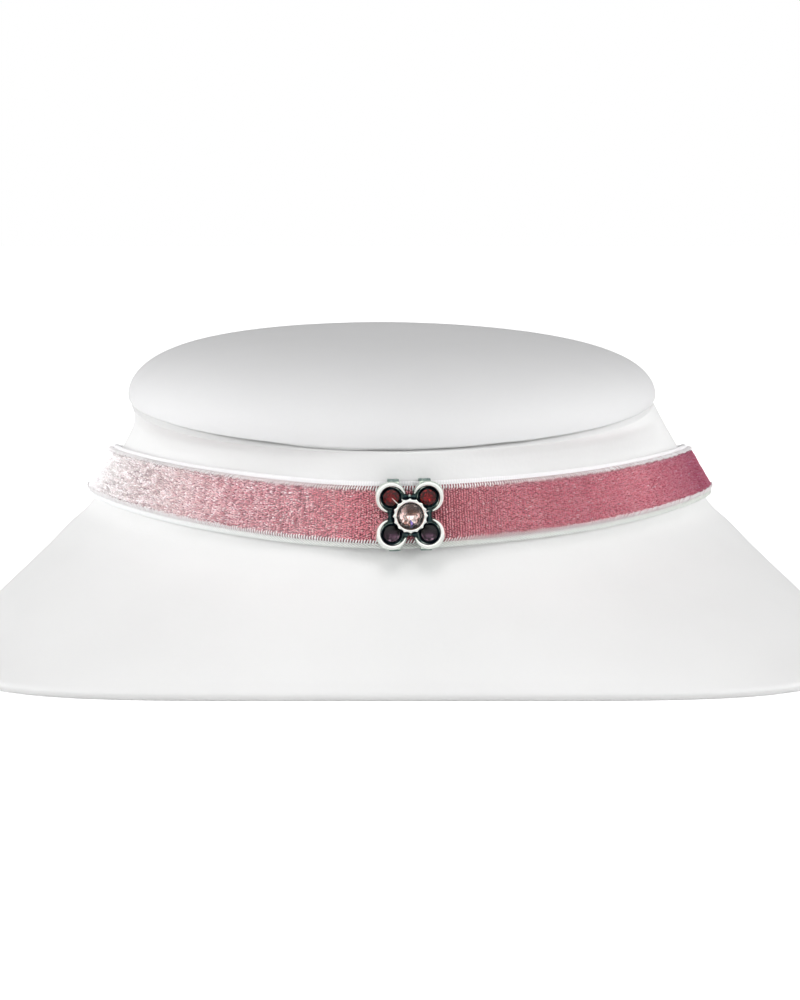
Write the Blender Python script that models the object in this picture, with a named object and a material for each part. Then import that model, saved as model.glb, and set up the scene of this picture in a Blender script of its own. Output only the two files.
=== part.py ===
"""Velvet ribbon choker with a four-petal slider ornament, on a plain low neck display bust.

Metres, +Z up, +X to the right seen from the front, +Y to the back.
The origin is at the middle of the bust's flat base.
"""

import math

import bmesh
import bpy
from mathutils import Matrix, Vector

MM = 0.001

# Neck display bust
BASE_HALF_WIDTH = 73.0 * MM
BASE_HALF_DEPTH = 60.0 * MM
BASE_EDGE_RADIUS = 1.5 * MM
RIBBON_LEVEL = 24.0 * MM
RIBBON_TILT = math.radians(1.25)
BACK_DROP = 2.5 * MM
BACK_DROP_REACH = 10.0 * MM
FRONT_DROP = 0.40 * MM
FRONT_DROP_PLACE = -6.0 * MM
FRONT_DROP_REACH = 16.0 * MM
NECK_HALF_WIDTH = 52.0 * MM
NECK_HALF_DEPTH = 44.3 * MM
NECK_SIDE_LEAN = math.radians(31.0)
NECK_FRONT_LEAN = math.radians(8.2)
NECK_STRAIGHT_HALF = 6.0 * MM
NECK_TOP_LEVEL = 38.0 * MM
NECK_TOP_HALF_WIDTH = 45.2 * MM
NECK_TOP_HALF_DEPTH = 43.4 * MM
NECK_TOP_SHIFT = -1.4 * MM
NECK_TOP_TILT = math.radians(5.4)
RIDGE_SOFTNESS = 0.03

# Padded cap on the neck: its section is a quarter of a superellipse, and it is stuffed fuller on its
# left and in front by the shares LEAN and NOD
CAP_HALF_WIDTH = 45.0 * MM
CAP_HALF_DEPTH = 42.7 * MM
CAP_HEIGHT = 9.9 * MM
CAP_WIDEST_LEVEL = 0.4 * MM
CAP_EDGE_BULGE = 1.0 * MM
CAP_DOME_POWER = 3.47
CAP_SHOULDER_POWER = 2.12
CAP_SQUARENESS = 1.88
CAP_LEAN = 0.056
CAP_NOD = 0.21

# Velvet ribbon
RIBBON_HEIGHT = 10.0 * MM
RIBBON_EDGE_THICKNESS = 1.0 * MM
RIBBON_PILE_THICKNESS = 1.5 * MM
SELVEDGE_WIDTH = 0.95 * MM
PILE_SHOULDER = 0.35 * MM
RIBBON_END_GAP = 1.0 * MM

# Clasp sleeve behind the neck
CLASP_HALF_LENGTH = 4.5 * MM
CLASP_WALL = 0.8 * MM

# Slider ornament, in its own plane: across, up and out of the ribbon
ORNAMENT_SHIFT = 1.35 * MM
PLATE_THICKNESS = 0.7 * MM
PETAL_ACROSS = 2.74 * MM
PETAL_UP = 2.66 * MM
RIM_OUTER_RADIUS = 2.37 * MM
RIM_WALL = 0.80 * MM
RIM_HEIGHT = 1.15 * MM
RIM_OPENING = math.radians(118.0)
RIM_TIP_SHARE = 0.30
CUP_WALL = 0.40 * MM
CUP_HEIGHT = 0.60 * MM
PETAL_STONE_RADIUS = 1.25 * MM
BEZEL_INNER_RADIUS = 2.0 * MM
BEZEL_WALL = 0.48 * MM
BEZEL_FOOT_RADIUS = 2.2 * MM
BEZEL_HEIGHT = 1.9 * MM
BEZEL_TOOTH = 0.14 * MM
BEZEL_TEETH = 16
BAR_ACROSS = 2.35 * MM
BAR_WIDTH = 1.7 * MM
BAR_THICKNESS = 0.4 * MM

# Running and seating gaps
CLEARANCE = 0.3 * MM
EDGE_CLEARANCE = 0.15 * MM
STONE_GAP = 0.07 * MM
SINK = 0.2 * MM

# Fineness of the faces
RING_SIDES = 96
CAP_DOME_STEPS = 10
RIBBON_STATIONS = 112
RIM_STATIONS = 18
TOOTH_STEPS = 4
CUP_SIDES = 16

FRONT = math.radians(-90.0)
BACK = math.radians(90.0)
FULL_TURN = 2.0 * math.pi

# Bust below the straight neck band: height as a share of the band's lower level, the growth of the
# half-width and of the half-depth as shares of neck-to-base, and the outline's powers
CHEST_ROWS = (
    # height, side_growth, depth_growth, side_power, front_power, back_power
    (0.00, 1.000, 1.000, 5.5, 4.5, 4.5),
    (0.13, 0.870, 0.930, 3.9, 3.2, 3.3),
    (0.37, 0.625, 0.700, 2.7, 2.4, 2.5),
    (0.60, 0.395, 0.440, 2.2, 1.8, 1.9),
    (0.82, 0.190, 0.180, 2.05, 1.3, 1.4),
)
BAND_POWERS = (2.0, 1.12, 1.25)
# Neck above the band: height and shape as shares of the way from the band to the neck's top
THROAT_ROWS = (
    # height, narrowing, side_power, front_power, back_power
    (0.30, 0.42, 2.0, 1.35, 1.45),
    (0.62, 0.76, 2.05, 1.75, 1.8),
    (1.00, 1.00, 2.1, 2.1, 2.1),
)


def clear_scene():
    """Remove every object that the file starts with."""
    for item in list(bpy.data.objects):
        bpy.data.objects.remove(item, do_unlink=True)


def new_collection(name):
    """Make a collection under the scene."""
    group = bpy.data.collections.new(name)
    bpy.context.scene.collection.children.link(group)
    return group


def plain_material(name, colour, roughness, metallic=0.0, transmission=0.0):
    """Make a Principled material."""
    made = bpy.data.materials.new(name)
    made.use_nodes = True
    shader = made.node_tree.nodes["Principled BSDF"]
    shader.inputs["Base Color"].default_value = (*colour, 1.0)
    shader.inputs["Roughness"].default_value = roughness
    shader.inputs["Metallic"].default_value = metallic
    shader.inputs["Transmission Weight"].default_value = transmission
    return made


def blend(start, end, share):
    """Go from start to end by a share."""
    return start + (end - start) * share


def outline_distance(angle, half_width, half_depth, powers):
    """Distance from the middle to a rounded outline, in one direction.

    The outline is (x / half_width)**side + (y / half_depth)**depth = 1, with its own depth power in
    front and behind, and with the pointed side ridge softened.
    """
    side_power, front_power, back_power = powers
    across = abs(math.cos(angle))
    along = abs(math.sin(angle))
    depth_power = front_power if math.sin(angle) < 0.0 else back_power
    full = math.sqrt(1.0 + RIDGE_SOFTNESS ** 2) - RIDGE_SOFTNESS
    low = 0.0
    high = 2.0 * max(half_width, half_depth)
    for _ in range(48):
        middle = 0.5 * (low + high)
        depth_share = middle * along / half_depth
        softened = (math.sqrt(depth_share ** 2 + RIDGE_SOFTNESS ** 2) - RIDGE_SOFTNESS) / full
        reach = (middle * across / half_width) ** side_power + softened ** depth_power
        if reach < 1.0:
            low = middle
        else:
            high = middle
    return 0.5 * (low + high)


def band_size(level):
    """Half-width and half-depth of the straight neck band at a height."""
    rise = level - RIBBON_LEVEL
    half_width = NECK_HALF_WIDTH - rise * math.tan(NECK_SIDE_LEAN)
    half_depth = NECK_HALF_DEPTH - rise * math.tan(NECK_FRONT_LEAN)
    return half_width, half_depth


def band_sag(across, along):
    """How far the band stands above its middle level: up in front, down behind the side ridges."""
    drop = BACK_DROP * (1.0 - math.exp(-max(along, 0.0) / BACK_DROP_REACH))
    dip = 0.0
    if along < 0.0:
        dip = FRONT_DROP * math.exp(-((across - FRONT_DROP_PLACE) / FRONT_DROP_REACH) ** 2)
    return -math.tan(RIBBON_TILT) * along - drop - dip


def band_point(angle, level):
    """Point on the straight neck band."""
    half_width, half_depth = band_size(level)
    distance = outline_distance(angle, half_width, half_depth, BAND_POWERS)
    across = distance * math.cos(angle)
    along = distance * math.sin(angle)
    return Vector((across, along, level + band_sag(across, along)))


def bust_rings():
    """Rings of the bust from its base to the neck's top."""
    angles = [FULL_TURN * step / RING_SIDES for step in range(RING_SIDES)]
    band_foot = RIBBON_LEVEL - NECK_STRAIGHT_HALF
    foot_width, foot_depth = band_size(band_foot)
    rings = []

    def add_ring(level, half_width, half_depth, powers, sag=0.0, top=0.0):
        ring = []
        for angle in angles:
            distance = outline_distance(angle, half_width, half_depth, powers)
            across = distance * math.cos(angle) + top * NECK_TOP_SHIFT
            along = distance * math.sin(angle)
            rise = sag * band_sag(across, along) + top * math.tan(NECK_TOP_TILT) * along
            ring.append(Vector((across, along, level + rise)))
        rings.append(ring)

    base_powers = CHEST_ROWS[0][3:]
    for step in range(3):
        turn = 0.5 * math.pi * step / 3
        inset = BASE_EDGE_RADIUS * (1.0 - math.sin(turn))
        lift = BASE_EDGE_RADIUS * (1.0 - math.cos(turn))
        add_ring(lift, BASE_HALF_WIDTH - inset, BASE_HALF_DEPTH - inset, base_powers)
    for height, side_growth, depth_growth, *powers in CHEST_ROWS:
        level = BASE_EDGE_RADIUS + height * (band_foot - BASE_EDGE_RADIUS)
        half_width = blend(foot_width, BASE_HALF_WIDTH, side_growth)
        half_depth = blend(foot_depth, BASE_HALF_DEPTH, depth_growth)
        add_ring(level, half_width, half_depth, powers, height ** 2)
    for level in (band_foot, RIBBON_LEVEL, RIBBON_LEVEL + NECK_STRAIGHT_HALF):
        add_ring(level, *band_size(level), BAND_POWERS, 1.0)
    band_head = RIBBON_LEVEL + NECK_STRAIGHT_HALF
    head_width, head_depth = band_size(band_head)
    for height, narrowing, *powers in THROAT_ROWS:
        level = blend(band_head, NECK_TOP_LEVEL, height)
        half_width = blend(head_width, NECK_TOP_HALF_WIDTH, narrowing)
        half_depth = blend(head_depth, NECK_TOP_HALF_DEPTH, narrowing)
        add_ring(level, half_width, half_depth, powers, 1.0 - height, height ** 2)
    return rings


def loft(name, rings, group, closed=False, capped=True):
    """Join rings of equal length into one closed body."""
    mesh = bmesh.new()
    rows = [[mesh.verts.new(point) for point in ring] for ring in rings]
    sides = len(rings[0])
    pairs = list(zip(rows, rows[1:]))
    if closed:
        pairs.append((rows[-1], rows[0]))
    for lower, upper in pairs:
        for side in range(sides):
            after = (side + 1) % sides
            mesh.faces.new((lower[side], lower[after], upper[after], upper[side]))
    if capped and not closed:
        mesh.faces.new(list(reversed(rows[0])))
        mesh.faces.new(rows[-1])
    bmesh.ops.recalc_face_normals(mesh, faces=mesh.faces)
    return finish_mesh(name, mesh, group)


def finish_mesh(name, mesh, group):
    """Turn a bmesh into an object in a collection."""
    data = bpy.data.meshes.new(name)
    mesh.to_mesh(data)
    mesh.free()
    made = bpy.data.objects.new(name, data)
    group.objects.link(made)
    return made


def flat_bump(distance, flat_half, fade):
    """One on the flat, easing to nothing over the fade."""
    past = abs(distance) - flat_half
    if past <= 0.0:
        return 1.0
    if past >= fade:
        return 0.0
    return 0.5 + 0.5 * math.cos(math.pi * past / fade)


ORNAMENT_LIFT = BAR_THICKNESS + CLEARANCE
CLASP_LIFT = CLASP_WALL + CLEARANCE
LIFT_FADE = 9.0 * MM


def path_lift(point):
    """How far the ribbon stands off the bust beyond its resting gap."""
    if point.y < 0.0:
        flat = BAR_ACROSS + BAR_WIDTH
        return ORNAMENT_LIFT * flat_bump(point.x - ORNAMENT_SHIFT, flat, LIFT_FADE)
    return CLASP_LIFT * flat_bump(point.x, CLASP_HALF_LENGTH + CLEARANCE, LIFT_FADE)


def ribbon_frame(angle):
    """Place of the ribbon's inner middle line and its along, up and out directions."""
    nudge = math.radians(1.0)
    middle = band_point(angle, RIBBON_LEVEL)
    before = band_point(angle - nudge, RIBBON_LEVEL)
    after = band_point(angle + nudge, RIBBON_LEVEL)
    along = (after - before).normalized()
    outward = Vector((along.y, -along.x, 0.0)).normalized()
    upper = band_point(angle, RIBBON_LEVEL + 0.5 * RIBBON_HEIGHT)
    lower = band_point(angle, RIBBON_LEVEL - 0.5 * RIBBON_HEIGHT)
    lean = math.atan2((lower - upper).dot(outward), RIBBON_HEIGHT)
    rising = Vector((0.0, 0.0, math.cos(lean))) - outward * math.sin(lean)
    up = (rising - along * rising.dot(along)).normalized()
    out = along.cross(up)
    place = middle + out * (CLEARANCE + path_lift(middle))
    return place, along, up, out


def angle_at(across, facing):
    """Direction in which the band passes a distance across the middle, in front or behind."""
    low = facing - math.radians(30.0)
    high = facing + math.radians(30.0)
    rising = band_point(high, RIBBON_LEVEL).x > band_point(low, RIBBON_LEVEL).x
    for _ in range(48):
        middle = 0.5 * (low + high)
        if (band_point(middle, RIBBON_LEVEL).x < across) == rising:
            low = middle
        else:
            high = middle
    return 0.5 * (low + high)


def sweep_section(section, angles):
    """Rings of a section of (out, up) points carried along the ribbon's path."""
    rings = []
    for angle in angles:
        place, _, up, out = ribbon_frame(angle)
        rings.append([place + out * away + up * height for away, height in section])
    return rings


def ribbon_section():
    """Outline of the ribbon: thin woven edges and a raised pile between them."""
    half = 0.5 * RIBBON_HEIGHT
    pile = half - SELVEDGE_WIDTH
    return (
        (0.0, -half),
        (RIBBON_EDGE_THICKNESS, -half),
        (RIBBON_EDGE_THICKNESS, -pile),
        (RIBBON_PILE_THICKNESS, -pile + PILE_SHOULDER),
        (RIBBON_PILE_THICKNESS, pile - PILE_SHOULDER),
        (RIBBON_EDGE_THICKNESS, pile),
        (RIBBON_EDGE_THICKNESS, half),
        (0.0, half),
    )


def build_bust(group):
    """Shoulders, chest and neck in one solid."""
    bust = loft("bust_form", bust_rings(), group)
    bust.data.materials.append(plain_material("bust_leatherette", (0.86, 0.86, 0.86), 0.45))
    return bust


def cap_profile():
    """Section of the cap from its seam to its top: share of the outline, spread beyond it and height."""
    profile = [(1.0, 0.0, 0.0)]
    for step in range(CAP_DOME_STEPS):
        turn = 0.5 * math.pi * step / CAP_DOME_STEPS
        share = math.cos(turn) ** (2.0 / CAP_DOME_POWER)
        rise = math.sin(turn) ** (2.0 / CAP_SHOULDER_POWER)
        profile.append((share, CAP_EDGE_BULGE * share, blend(CAP_WIDEST_LEVEL, CAP_HEIGHT, rise)))
    return profile


def build_cap(group):
    """Padded cap with a soft edge and a shallow dome, on the tilted top of the neck."""
    frame = Matrix.Translation((NECK_TOP_SHIFT, 0.0, NECK_TOP_LEVEL)) @ Matrix.Rotation(NECK_TOP_TILT, 4, "X")
    angles = [FULL_TURN * step / RING_SIDES for step in range(RING_SIDES)]
    powers = (CAP_SQUARENESS,) * 3
    rings = []
    for share, spread, height in cap_profile():
        half_width = CAP_HALF_WIDTH * share + spread
        half_depth = CAP_HALF_DEPTH * share + spread
        ring = []
        for angle in angles:
            distance = outline_distance(angle, half_width, half_depth, powers)
            across = distance * math.cos(angle)
            along = distance * math.sin(angle)
            stuffing = 1.0 - CAP_LEAN * across / CAP_HALF_WIDTH - CAP_NOD * along / CAP_HALF_DEPTH
            ring.append(Vector((across, along, CLEARANCE + height * stuffing)))
        rings.append(ring)
    cap = loft("neck_cap", rings, group)
    cap.matrix_world = frame
    cap.data.materials.append(plain_material("cap_leatherette", (0.76, 0.76, 0.77), 0.5))
    return cap


def build_ribbon(group):
    """The whole loop of ribbon, its two ends meeting inside the clasp."""
    start = angle_at(-0.5 * RIBBON_END_GAP, BACK)
    end = angle_at(0.5 * RIBBON_END_GAP, BACK) + FULL_TURN
    angles = [blend(start, end, step / RIBBON_STATIONS) for step in range(RIBBON_STATIONS + 1)]
    ribbon = loft("velvet_ribbon", sweep_section(ribbon_section(), angles), group)
    ribbon.data.materials.append(plain_material("rose_velvet", (0.45, 0.14, 0.17), 0.9))
    return ribbon


def build_clasp(group):
    """Plain sleeve that holds the ribbon's two ends behind the neck."""
    inner_low = -CLEARANCE
    inner_high = RIBBON_PILE_THICKNESS + CLEARANCE
    inner_half = 0.5 * RIBBON_HEIGHT + EDGE_CLEARANCE
    outer_half = inner_half + CLASP_WALL
    start = angle_at(CLASP_HALF_LENGTH, BACK)
    end = angle_at(-CLASP_HALF_LENGTH, BACK)
    steps = 8
    angles = [blend(start, end, step / steps) for step in range(steps + 1)]
    corner = 0.5 * CLASP_WALL
    outer = (
        (inner_low - CLASP_WALL, -outer_half + corner),
        (inner_low - CLASP_WALL + corner, -outer_half),
        (inner_high + CLASP_WALL - corner, -outer_half),
        (inner_high + CLASP_WALL, -outer_half + corner),
        (inner_high + CLASP_WALL, outer_half - corner),
        (inner_high + CLASP_WALL - corner, outer_half),
        (inner_low - CLASP_WALL + corner, outer_half),
        (inner_low - CLASP_WALL, outer_half - corner),
    )
    hole = (
        (inner_low, -inner_half),
        (inner_low, -inner_half),
        (inner_high, -inner_half),
        (inner_high, -inner_half),
        (inner_high, inner_half),
        (inner_high, inner_half),
        (inner_low, inner_half),
        (inner_low, inner_half),
    )
    outer_rings = sweep_section(outer, angles)
    hole_rings = sweep_section(hole, angles)
    clasp = sleeve("clasp", outer_rings, hole_rings, group)
    clasp.data.materials.append(plain_material("clasp_metal", (0.55, 0.56, 0.55), 0.3, 1.0))
    return clasp


def sleeve(name, outer_rings, inner_rings, group):
    """A tube with a wall between matching outer and inner rings."""
    mesh = bmesh.new()
    outer = [[mesh.verts.new(point) for point in ring] for ring in outer_rings]
    inner = [[mesh.verts.new(point) for point in ring] for ring in inner_rings]
    sides = len(outer_rings[0])
    for side in range(sides):
        after = (side + 1) % sides
        for low, high in zip(outer, outer[1:]):
            mesh.faces.new((low[side], low[after], high[after], high[side]))
        for low, high in zip(inner, inner[1:]):
            mesh.faces.new((low[after], low[side], high[side], high[after]))
        mesh.faces.new((outer[0][after], outer[0][side], inner[0][side], inner[0][after]))
        mesh.faces.new((outer[-1][side], outer[-1][after], inner[-1][after], inner[-1][side]))
    bmesh.ops.remove_doubles(mesh, verts=mesh.verts, dist=0.001 * MM)
    bmesh.ops.dissolve_degenerate(mesh, edges=mesh.edges, dist=0.001 * MM)
    bmesh.ops.recalc_face_normals(mesh, faces=mesh.faces)
    return finish_mesh(name, mesh, group)


def plate_rings():
    """Back plate of the ornament: four round lobes that meet round the middle."""
    spread = math.hypot(PETAL_ACROSS, PETAL_UP)
    lobe_angle = math.atan2(PETAL_UP, PETAL_ACROSS)
    waist = math.sqrt(spread ** 2 - RIM_OUTER_RADIUS ** 2)
    lobes = (lobe_angle, math.pi - lobe_angle, math.pi + lobe_angle, -lobe_angle)
    sides = RING_SIDES
    outline = []
    for step in range(sides):
        angle = FULL_TURN * (step + 0.5) / sides
        distance = waist
        for lobe in lobes:
            off = spread * math.sin(angle - lobe)
            if abs(off) < RIM_OUTER_RADIUS and math.cos(angle - lobe) > 0.0:
                exit_distance = spread * math.cos(angle - lobe) + math.sqrt(RIM_OUTER_RADIUS ** 2 - off ** 2)
                distance = max(distance, exit_distance)
        outline.append((distance * math.cos(angle), distance * math.sin(angle)))
    lobe_inset = 0.97
    return [
        [Vector((across, up, 0.0)) for across, up in outline],
        [Vector((across, up, 0.7 * PLATE_THICKNESS)) for across, up in outline],
        [Vector((across * lobe_inset, up * lobe_inset, PLATE_THICKNESS)) for across, up in outline],
    ]


def rim_rings(facing):
    """One petal's open rim: a rounded wall that tapers to points at its opening."""
    middle_radius = RIM_OUTER_RADIUS - 0.5 * RIM_WALL
    half = 0.5 * RIM_WALL
    top = PLATE_THICKNESS + RIM_HEIGHT
    foot = PLATE_THICKNESS - SINK
    section = (
        (-half, foot),
        (half, foot),
        (half, blend(foot, top, 0.62)),
        (0.62 * half, blend(foot, top, 0.90)),
        (0.0, top),
        (-0.62 * half, blend(foot, top, 0.90)),
        (-half, blend(foot, top, 0.62)),
    )
    start = facing + 0.5 * RIM_OPENING
    end = facing + FULL_TURN - 0.5 * RIM_OPENING
    rings = []
    for step in range(RIM_STATIONS + 1):
        share = step / RIM_STATIONS
        angle = blend(start, end, share)
        fullness = blend(RIM_TIP_SHARE, 1.0, math.sin(math.pi * share) ** 0.6)
        ring = []
        for away, height in section:
            radius = middle_radius + half * (1.0 - fullness) * 0.5 + away * fullness
            level = foot + (height - foot) * blend(0.55, 1.0, fullness)
            ring.append(Vector((radius * math.cos(angle), radius * math.sin(angle), level)))
        rings.append(ring)
    return rings


def turned_rings(section, sides, wave=None):
    """Closed ring of a (radius, height) section turned round the out direction."""
    rings = []
    for step in range(sides):
        angle = FULL_TURN * step / sides
        ring = []
        for radius, height in section:
            if wave:
                radius, height = wave(angle, radius, height)
            ring.append(Vector((radius * math.cos(angle), radius * math.sin(angle), height)))
        rings.append(ring)
    return rings


def bezel_section():
    """Section of the middle bezel: a narrow foot that flares to a toothed lip."""
    foot = PLATE_THICKNESS - SINK
    top = PLATE_THICKNESS + BEZEL_HEIGHT
    lip = BEZEL_INNER_RADIUS + BEZEL_WALL
    inner_foot = BEZEL_INNER_RADIUS
    return (
        (inner_foot, foot),
        (BEZEL_FOOT_RADIUS, foot),
        (BEZEL_FOOT_RADIUS, blend(foot, top, 0.45)),
        (lip, blend(foot, top, 0.80)),
        (lip - 0.25 * BEZEL_WALL, top),
        (inner_foot + 0.2 * BEZEL_WALL, top),
        (inner_foot, blend(foot, top, 0.92)),
    )


def bezel_wave(angle, radius, height):
    """Push the lip out into rounded teeth."""
    lip_start = BEZEL_FOOT_RADIUS + STONE_GAP
    if radius < lip_start:
        return radius, height
    tooth = 0.5 + 0.5 * math.cos(BEZEL_TEETH * angle)
    return radius + BEZEL_TOOTH * (tooth - 0.3), height


def cup_section():
    """Section of a petal's cup, the dark ring round its stone."""
    inner = PETAL_STONE_RADIUS + STONE_GAP
    foot = PLATE_THICKNESS - SINK
    top = PLATE_THICKNESS + CUP_HEIGHT
    return (
        (inner, foot),
        (inner + CUP_WALL, foot),
        (inner + CUP_WALL, blend(foot, top, 0.8)),
        (inner + 0.6 * CUP_WALL, top),
        (inner, top),
    )


def staple_rings():
    """One staple: a flat bar bent round the ribbon, as a closed loop."""
    half = 0.5 * RIBBON_HEIGHT + EDGE_CLEARANCE
    back = -(RIBBON_PILE_THICKNESS + 2.0 * CLEARANCE)
    front_low = 0.15 * PLATE_THICKNESS
    front_high = 0.75 * PLATE_THICKNESS
    hole = ((-half, back), (half, back), (half, front_low), (-half, front_low))
    outer = (
        (-half - BAR_THICKNESS, back - BAR_THICKNESS),
        (half + BAR_THICKNESS, back - BAR_THICKNESS),
        (half + BAR_THICKNESS, front_high),
        (-half - BAR_THICKNESS, front_high),
    )
    left = -0.5 * BAR_WIDTH
    right = 0.5 * BAR_WIDTH
    rings = []
    for (hole_up, hole_out), (outer_up, outer_out) in zip(hole, outer):
        rings.append([
            Vector((left, hole_up, hole_out)),
            Vector((right, hole_up, hole_out)),
            Vector((right, outer_up, outer_out)),
            Vector((left, outer_up, outer_out)),
        ])
    return rings


def petal_places():
    """Middle of each petal and the direction in which its rim opens."""
    places = []
    for across, up in ((-1, 1), (1, 1), (-1, -1), (1, -1)):
        place = Vector((across * PETAL_ACROSS, up * PETAL_UP, 0.0))
        places.append((place, math.atan2(-up, -across)))
    return places


def build_setting(group, tools, frame):
    """The ornament's metal, soldered into one solid."""
    setting = loft("flower_setting", plate_rings(), group)
    pieces = []
    for number, (place, facing) in enumerate(petal_places(), start=1):
        rim = loft(f"rim_{number}", rim_rings(facing), tools)
        cup = loft(f"cup_{number}", turned_rings(cup_section(), CUP_SIDES), tools, closed=True)
        rim.location = place
        cup.location = place
        pieces.extend((cup, rim))
    teeth_sides = BEZEL_TEETH * TOOTH_STEPS
    bezel = turned_rings(bezel_section(), teeth_sides, bezel_wave)
    pieces.append(loft("bezel", bezel, tools, closed=True))
    for number, side in enumerate((-1, 1), start=1):
        bar = loft(f"staple_{number}", staple_rings(), tools, closed=True)
        bar.location = (side * BAR_ACROSS, 0.0, 0.0)
        pieces.append(bar)
    for piece in pieces:
        piece.parent = frame
        piece.hide_render = True
        piece.display_type = "WIRE"
        union = setting.modifiers.new(piece.name, "BOOLEAN")
        union.operation = "UNION"
        union.solver = "EXACT"
        union.object = piece
    setting.parent = frame
    setting.data.materials.append(plain_material("old_silver", (0.42, 0.45, 0.43), 0.35, 1.0))
    return setting


def cut_stone(name, radius, crown, pavilion, girdle_level, group):
    """Round stone with a table, star, kite and girdle facets above and mains below."""
    table_radius = 0.58 * radius
    kite_radius = 0.83 * radius
    band = 0.06 * radius
    mains = 8
    mesh = bmesh.new()

    def circle(count, ring_radius, level, turn=0.0):
        made = []
        for step in range(count):
            angle = FULL_TURN * (step + turn) / count
            place = (ring_radius * math.cos(angle), ring_radius * math.sin(angle), level)
            made.append(mesh.verts.new(place))
        return made

    table = circle(mains, table_radius, girdle_level + crown)
    kites = circle(mains, kite_radius, girdle_level + 0.48 * crown, 0.5)
    girdle_top = circle(2 * mains, radius, girdle_level + band)
    girdle_low = circle(2 * mains, radius, girdle_level - band)
    culet = circle(mains, 0.12 * radius, girdle_level - pavilion)
    mesh.faces.new(table)
    mesh.faces.new(list(reversed(culet)))
    for step in range(mains):
        after = (step + 1) % mains
        first = 2 * step
        second = first + 1
        third = (first + 2) % (2 * mains)
        mesh.faces.new((table[step], kites[step], table[after]))
        mesh.faces.new((kites[step], girdle_top[second], girdle_top[third]))
        mesh.faces.new((kites[step], girdle_top[first], girdle_top[second]))
        mesh.faces.new((table[step], girdle_top[first], kites[step]))
        mesh.faces.new((table[after], kites[step], girdle_top[third]))
        mesh.faces.new((girdle_low[first], girdle_low[second], girdle_top[second], girdle_top[first]))
        mesh.faces.new((girdle_low[second], girdle_low[third], girdle_top[third], girdle_top[second]))
        mesh.faces.new((culet[step], girdle_low[second], girdle_low[first]))
        mesh.faces.new((culet[step], culet[after], girdle_low[second]))
        mesh.faces.new((culet[after], girdle_low[third], girdle_low[second]))
    bmesh.ops.recalc_face_normals(mesh, faces=mesh.faces)
    return finish_mesh(name, mesh, group)


def build_stones(group, frame):
    """The middle stone and the four petal stones."""
    rose = plain_material("rose_glass", (0.90, 0.62, 0.60), 0.05)
    garnet = plain_material("garnet_glass", (0.10, 0.006, 0.012), 0.06)
    plum = plain_material("plum_glass", (0.06, 0.010, 0.03), 0.06)
    stones = []
    bezel_top = PLATE_THICKNESS + BEZEL_HEIGHT
    middle_radius = BEZEL_INNER_RADIUS - STONE_GAP
    middle = cut_stone("centre_stone", middle_radius, 0.34 * middle_radius, 0.68 * middle_radius,
                       bezel_top - 0.3 * MM, group)
    middle.data.materials.append(rose)
    stones.append(middle)
    cup_top = PLATE_THICKNESS + CUP_HEIGHT
    colours = (garnet, garnet, plum, plum)
    for number, ((place, _), colour) in enumerate(zip(petal_places(), colours), start=1):
        stone = cut_stone(f"petal_stone_{number}", PETAL_STONE_RADIUS, 0.30 * PETAL_STONE_RADIUS,
                          CUP_HEIGHT - 2.0 * STONE_GAP, cup_top - STONE_GAP, group)
        stone.location = place
        stone.data.materials.append(colour)
        stones.append(stone)
    for stone in stones:
        stone.parent = frame
    return stones


def ornament_frame(tools):
    """Empty at the back of the ornament's plate, facing out of the ribbon."""
    angle = angle_at(ORNAMENT_SHIFT, FRONT)
    place, along, up, out = ribbon_frame(angle)
    origin = place + out * (RIBBON_PILE_THICKNESS + CLEARANCE)
    frame = bpy.data.objects.new("ornament_frame", None)
    tools.objects.link(frame)
    turn = Matrix((along, up, out)).transposed().to_4x4()
    frame.matrix_world = Matrix.Translation(origin) @ turn
    return frame


def main():
    """Build every piece of the choker and its bust."""
    clear_scene()
    group = new_collection("choker_on_neck_bust")
    tools = new_collection("cutters_and_guides")
    build_bust(group)
    build_cap(group)
    build_ribbon(group)
    build_clasp(group)
    frame = ornament_frame(tools)
    build_setting(group, tools, frame)
    build_stones(group, frame)
    for item in group.objects:
        item.data.shade_smooth()
        item.data.set_sharp_from_angle(angle=math.radians(40.0))


main()
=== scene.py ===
"""Looks of a velvet ribbon choker with a petal slider ornament, on its neck display bust.

Metres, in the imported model's own frame: +Z up, +X to the right seen from the front, +Y to the back.
"""

import math

import bpy
import numpy as np
from mathutils import Matrix, Vector


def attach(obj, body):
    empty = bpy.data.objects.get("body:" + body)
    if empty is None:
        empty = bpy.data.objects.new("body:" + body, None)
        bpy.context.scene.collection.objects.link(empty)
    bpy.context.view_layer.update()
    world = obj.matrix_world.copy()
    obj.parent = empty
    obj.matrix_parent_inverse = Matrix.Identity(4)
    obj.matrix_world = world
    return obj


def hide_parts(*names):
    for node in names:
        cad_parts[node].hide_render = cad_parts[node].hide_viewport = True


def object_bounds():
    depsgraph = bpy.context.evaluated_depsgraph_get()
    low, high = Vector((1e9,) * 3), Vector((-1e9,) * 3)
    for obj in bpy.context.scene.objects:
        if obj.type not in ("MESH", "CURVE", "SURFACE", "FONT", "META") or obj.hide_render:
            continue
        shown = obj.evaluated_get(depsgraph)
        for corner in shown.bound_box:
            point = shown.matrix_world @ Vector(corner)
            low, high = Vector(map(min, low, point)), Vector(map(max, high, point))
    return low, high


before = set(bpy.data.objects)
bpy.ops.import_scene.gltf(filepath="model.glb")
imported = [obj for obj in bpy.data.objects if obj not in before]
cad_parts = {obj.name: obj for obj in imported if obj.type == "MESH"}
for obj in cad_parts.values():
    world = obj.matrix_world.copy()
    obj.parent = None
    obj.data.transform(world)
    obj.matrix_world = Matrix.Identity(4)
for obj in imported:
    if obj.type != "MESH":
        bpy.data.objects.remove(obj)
cad_low, cad_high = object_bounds()

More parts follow.
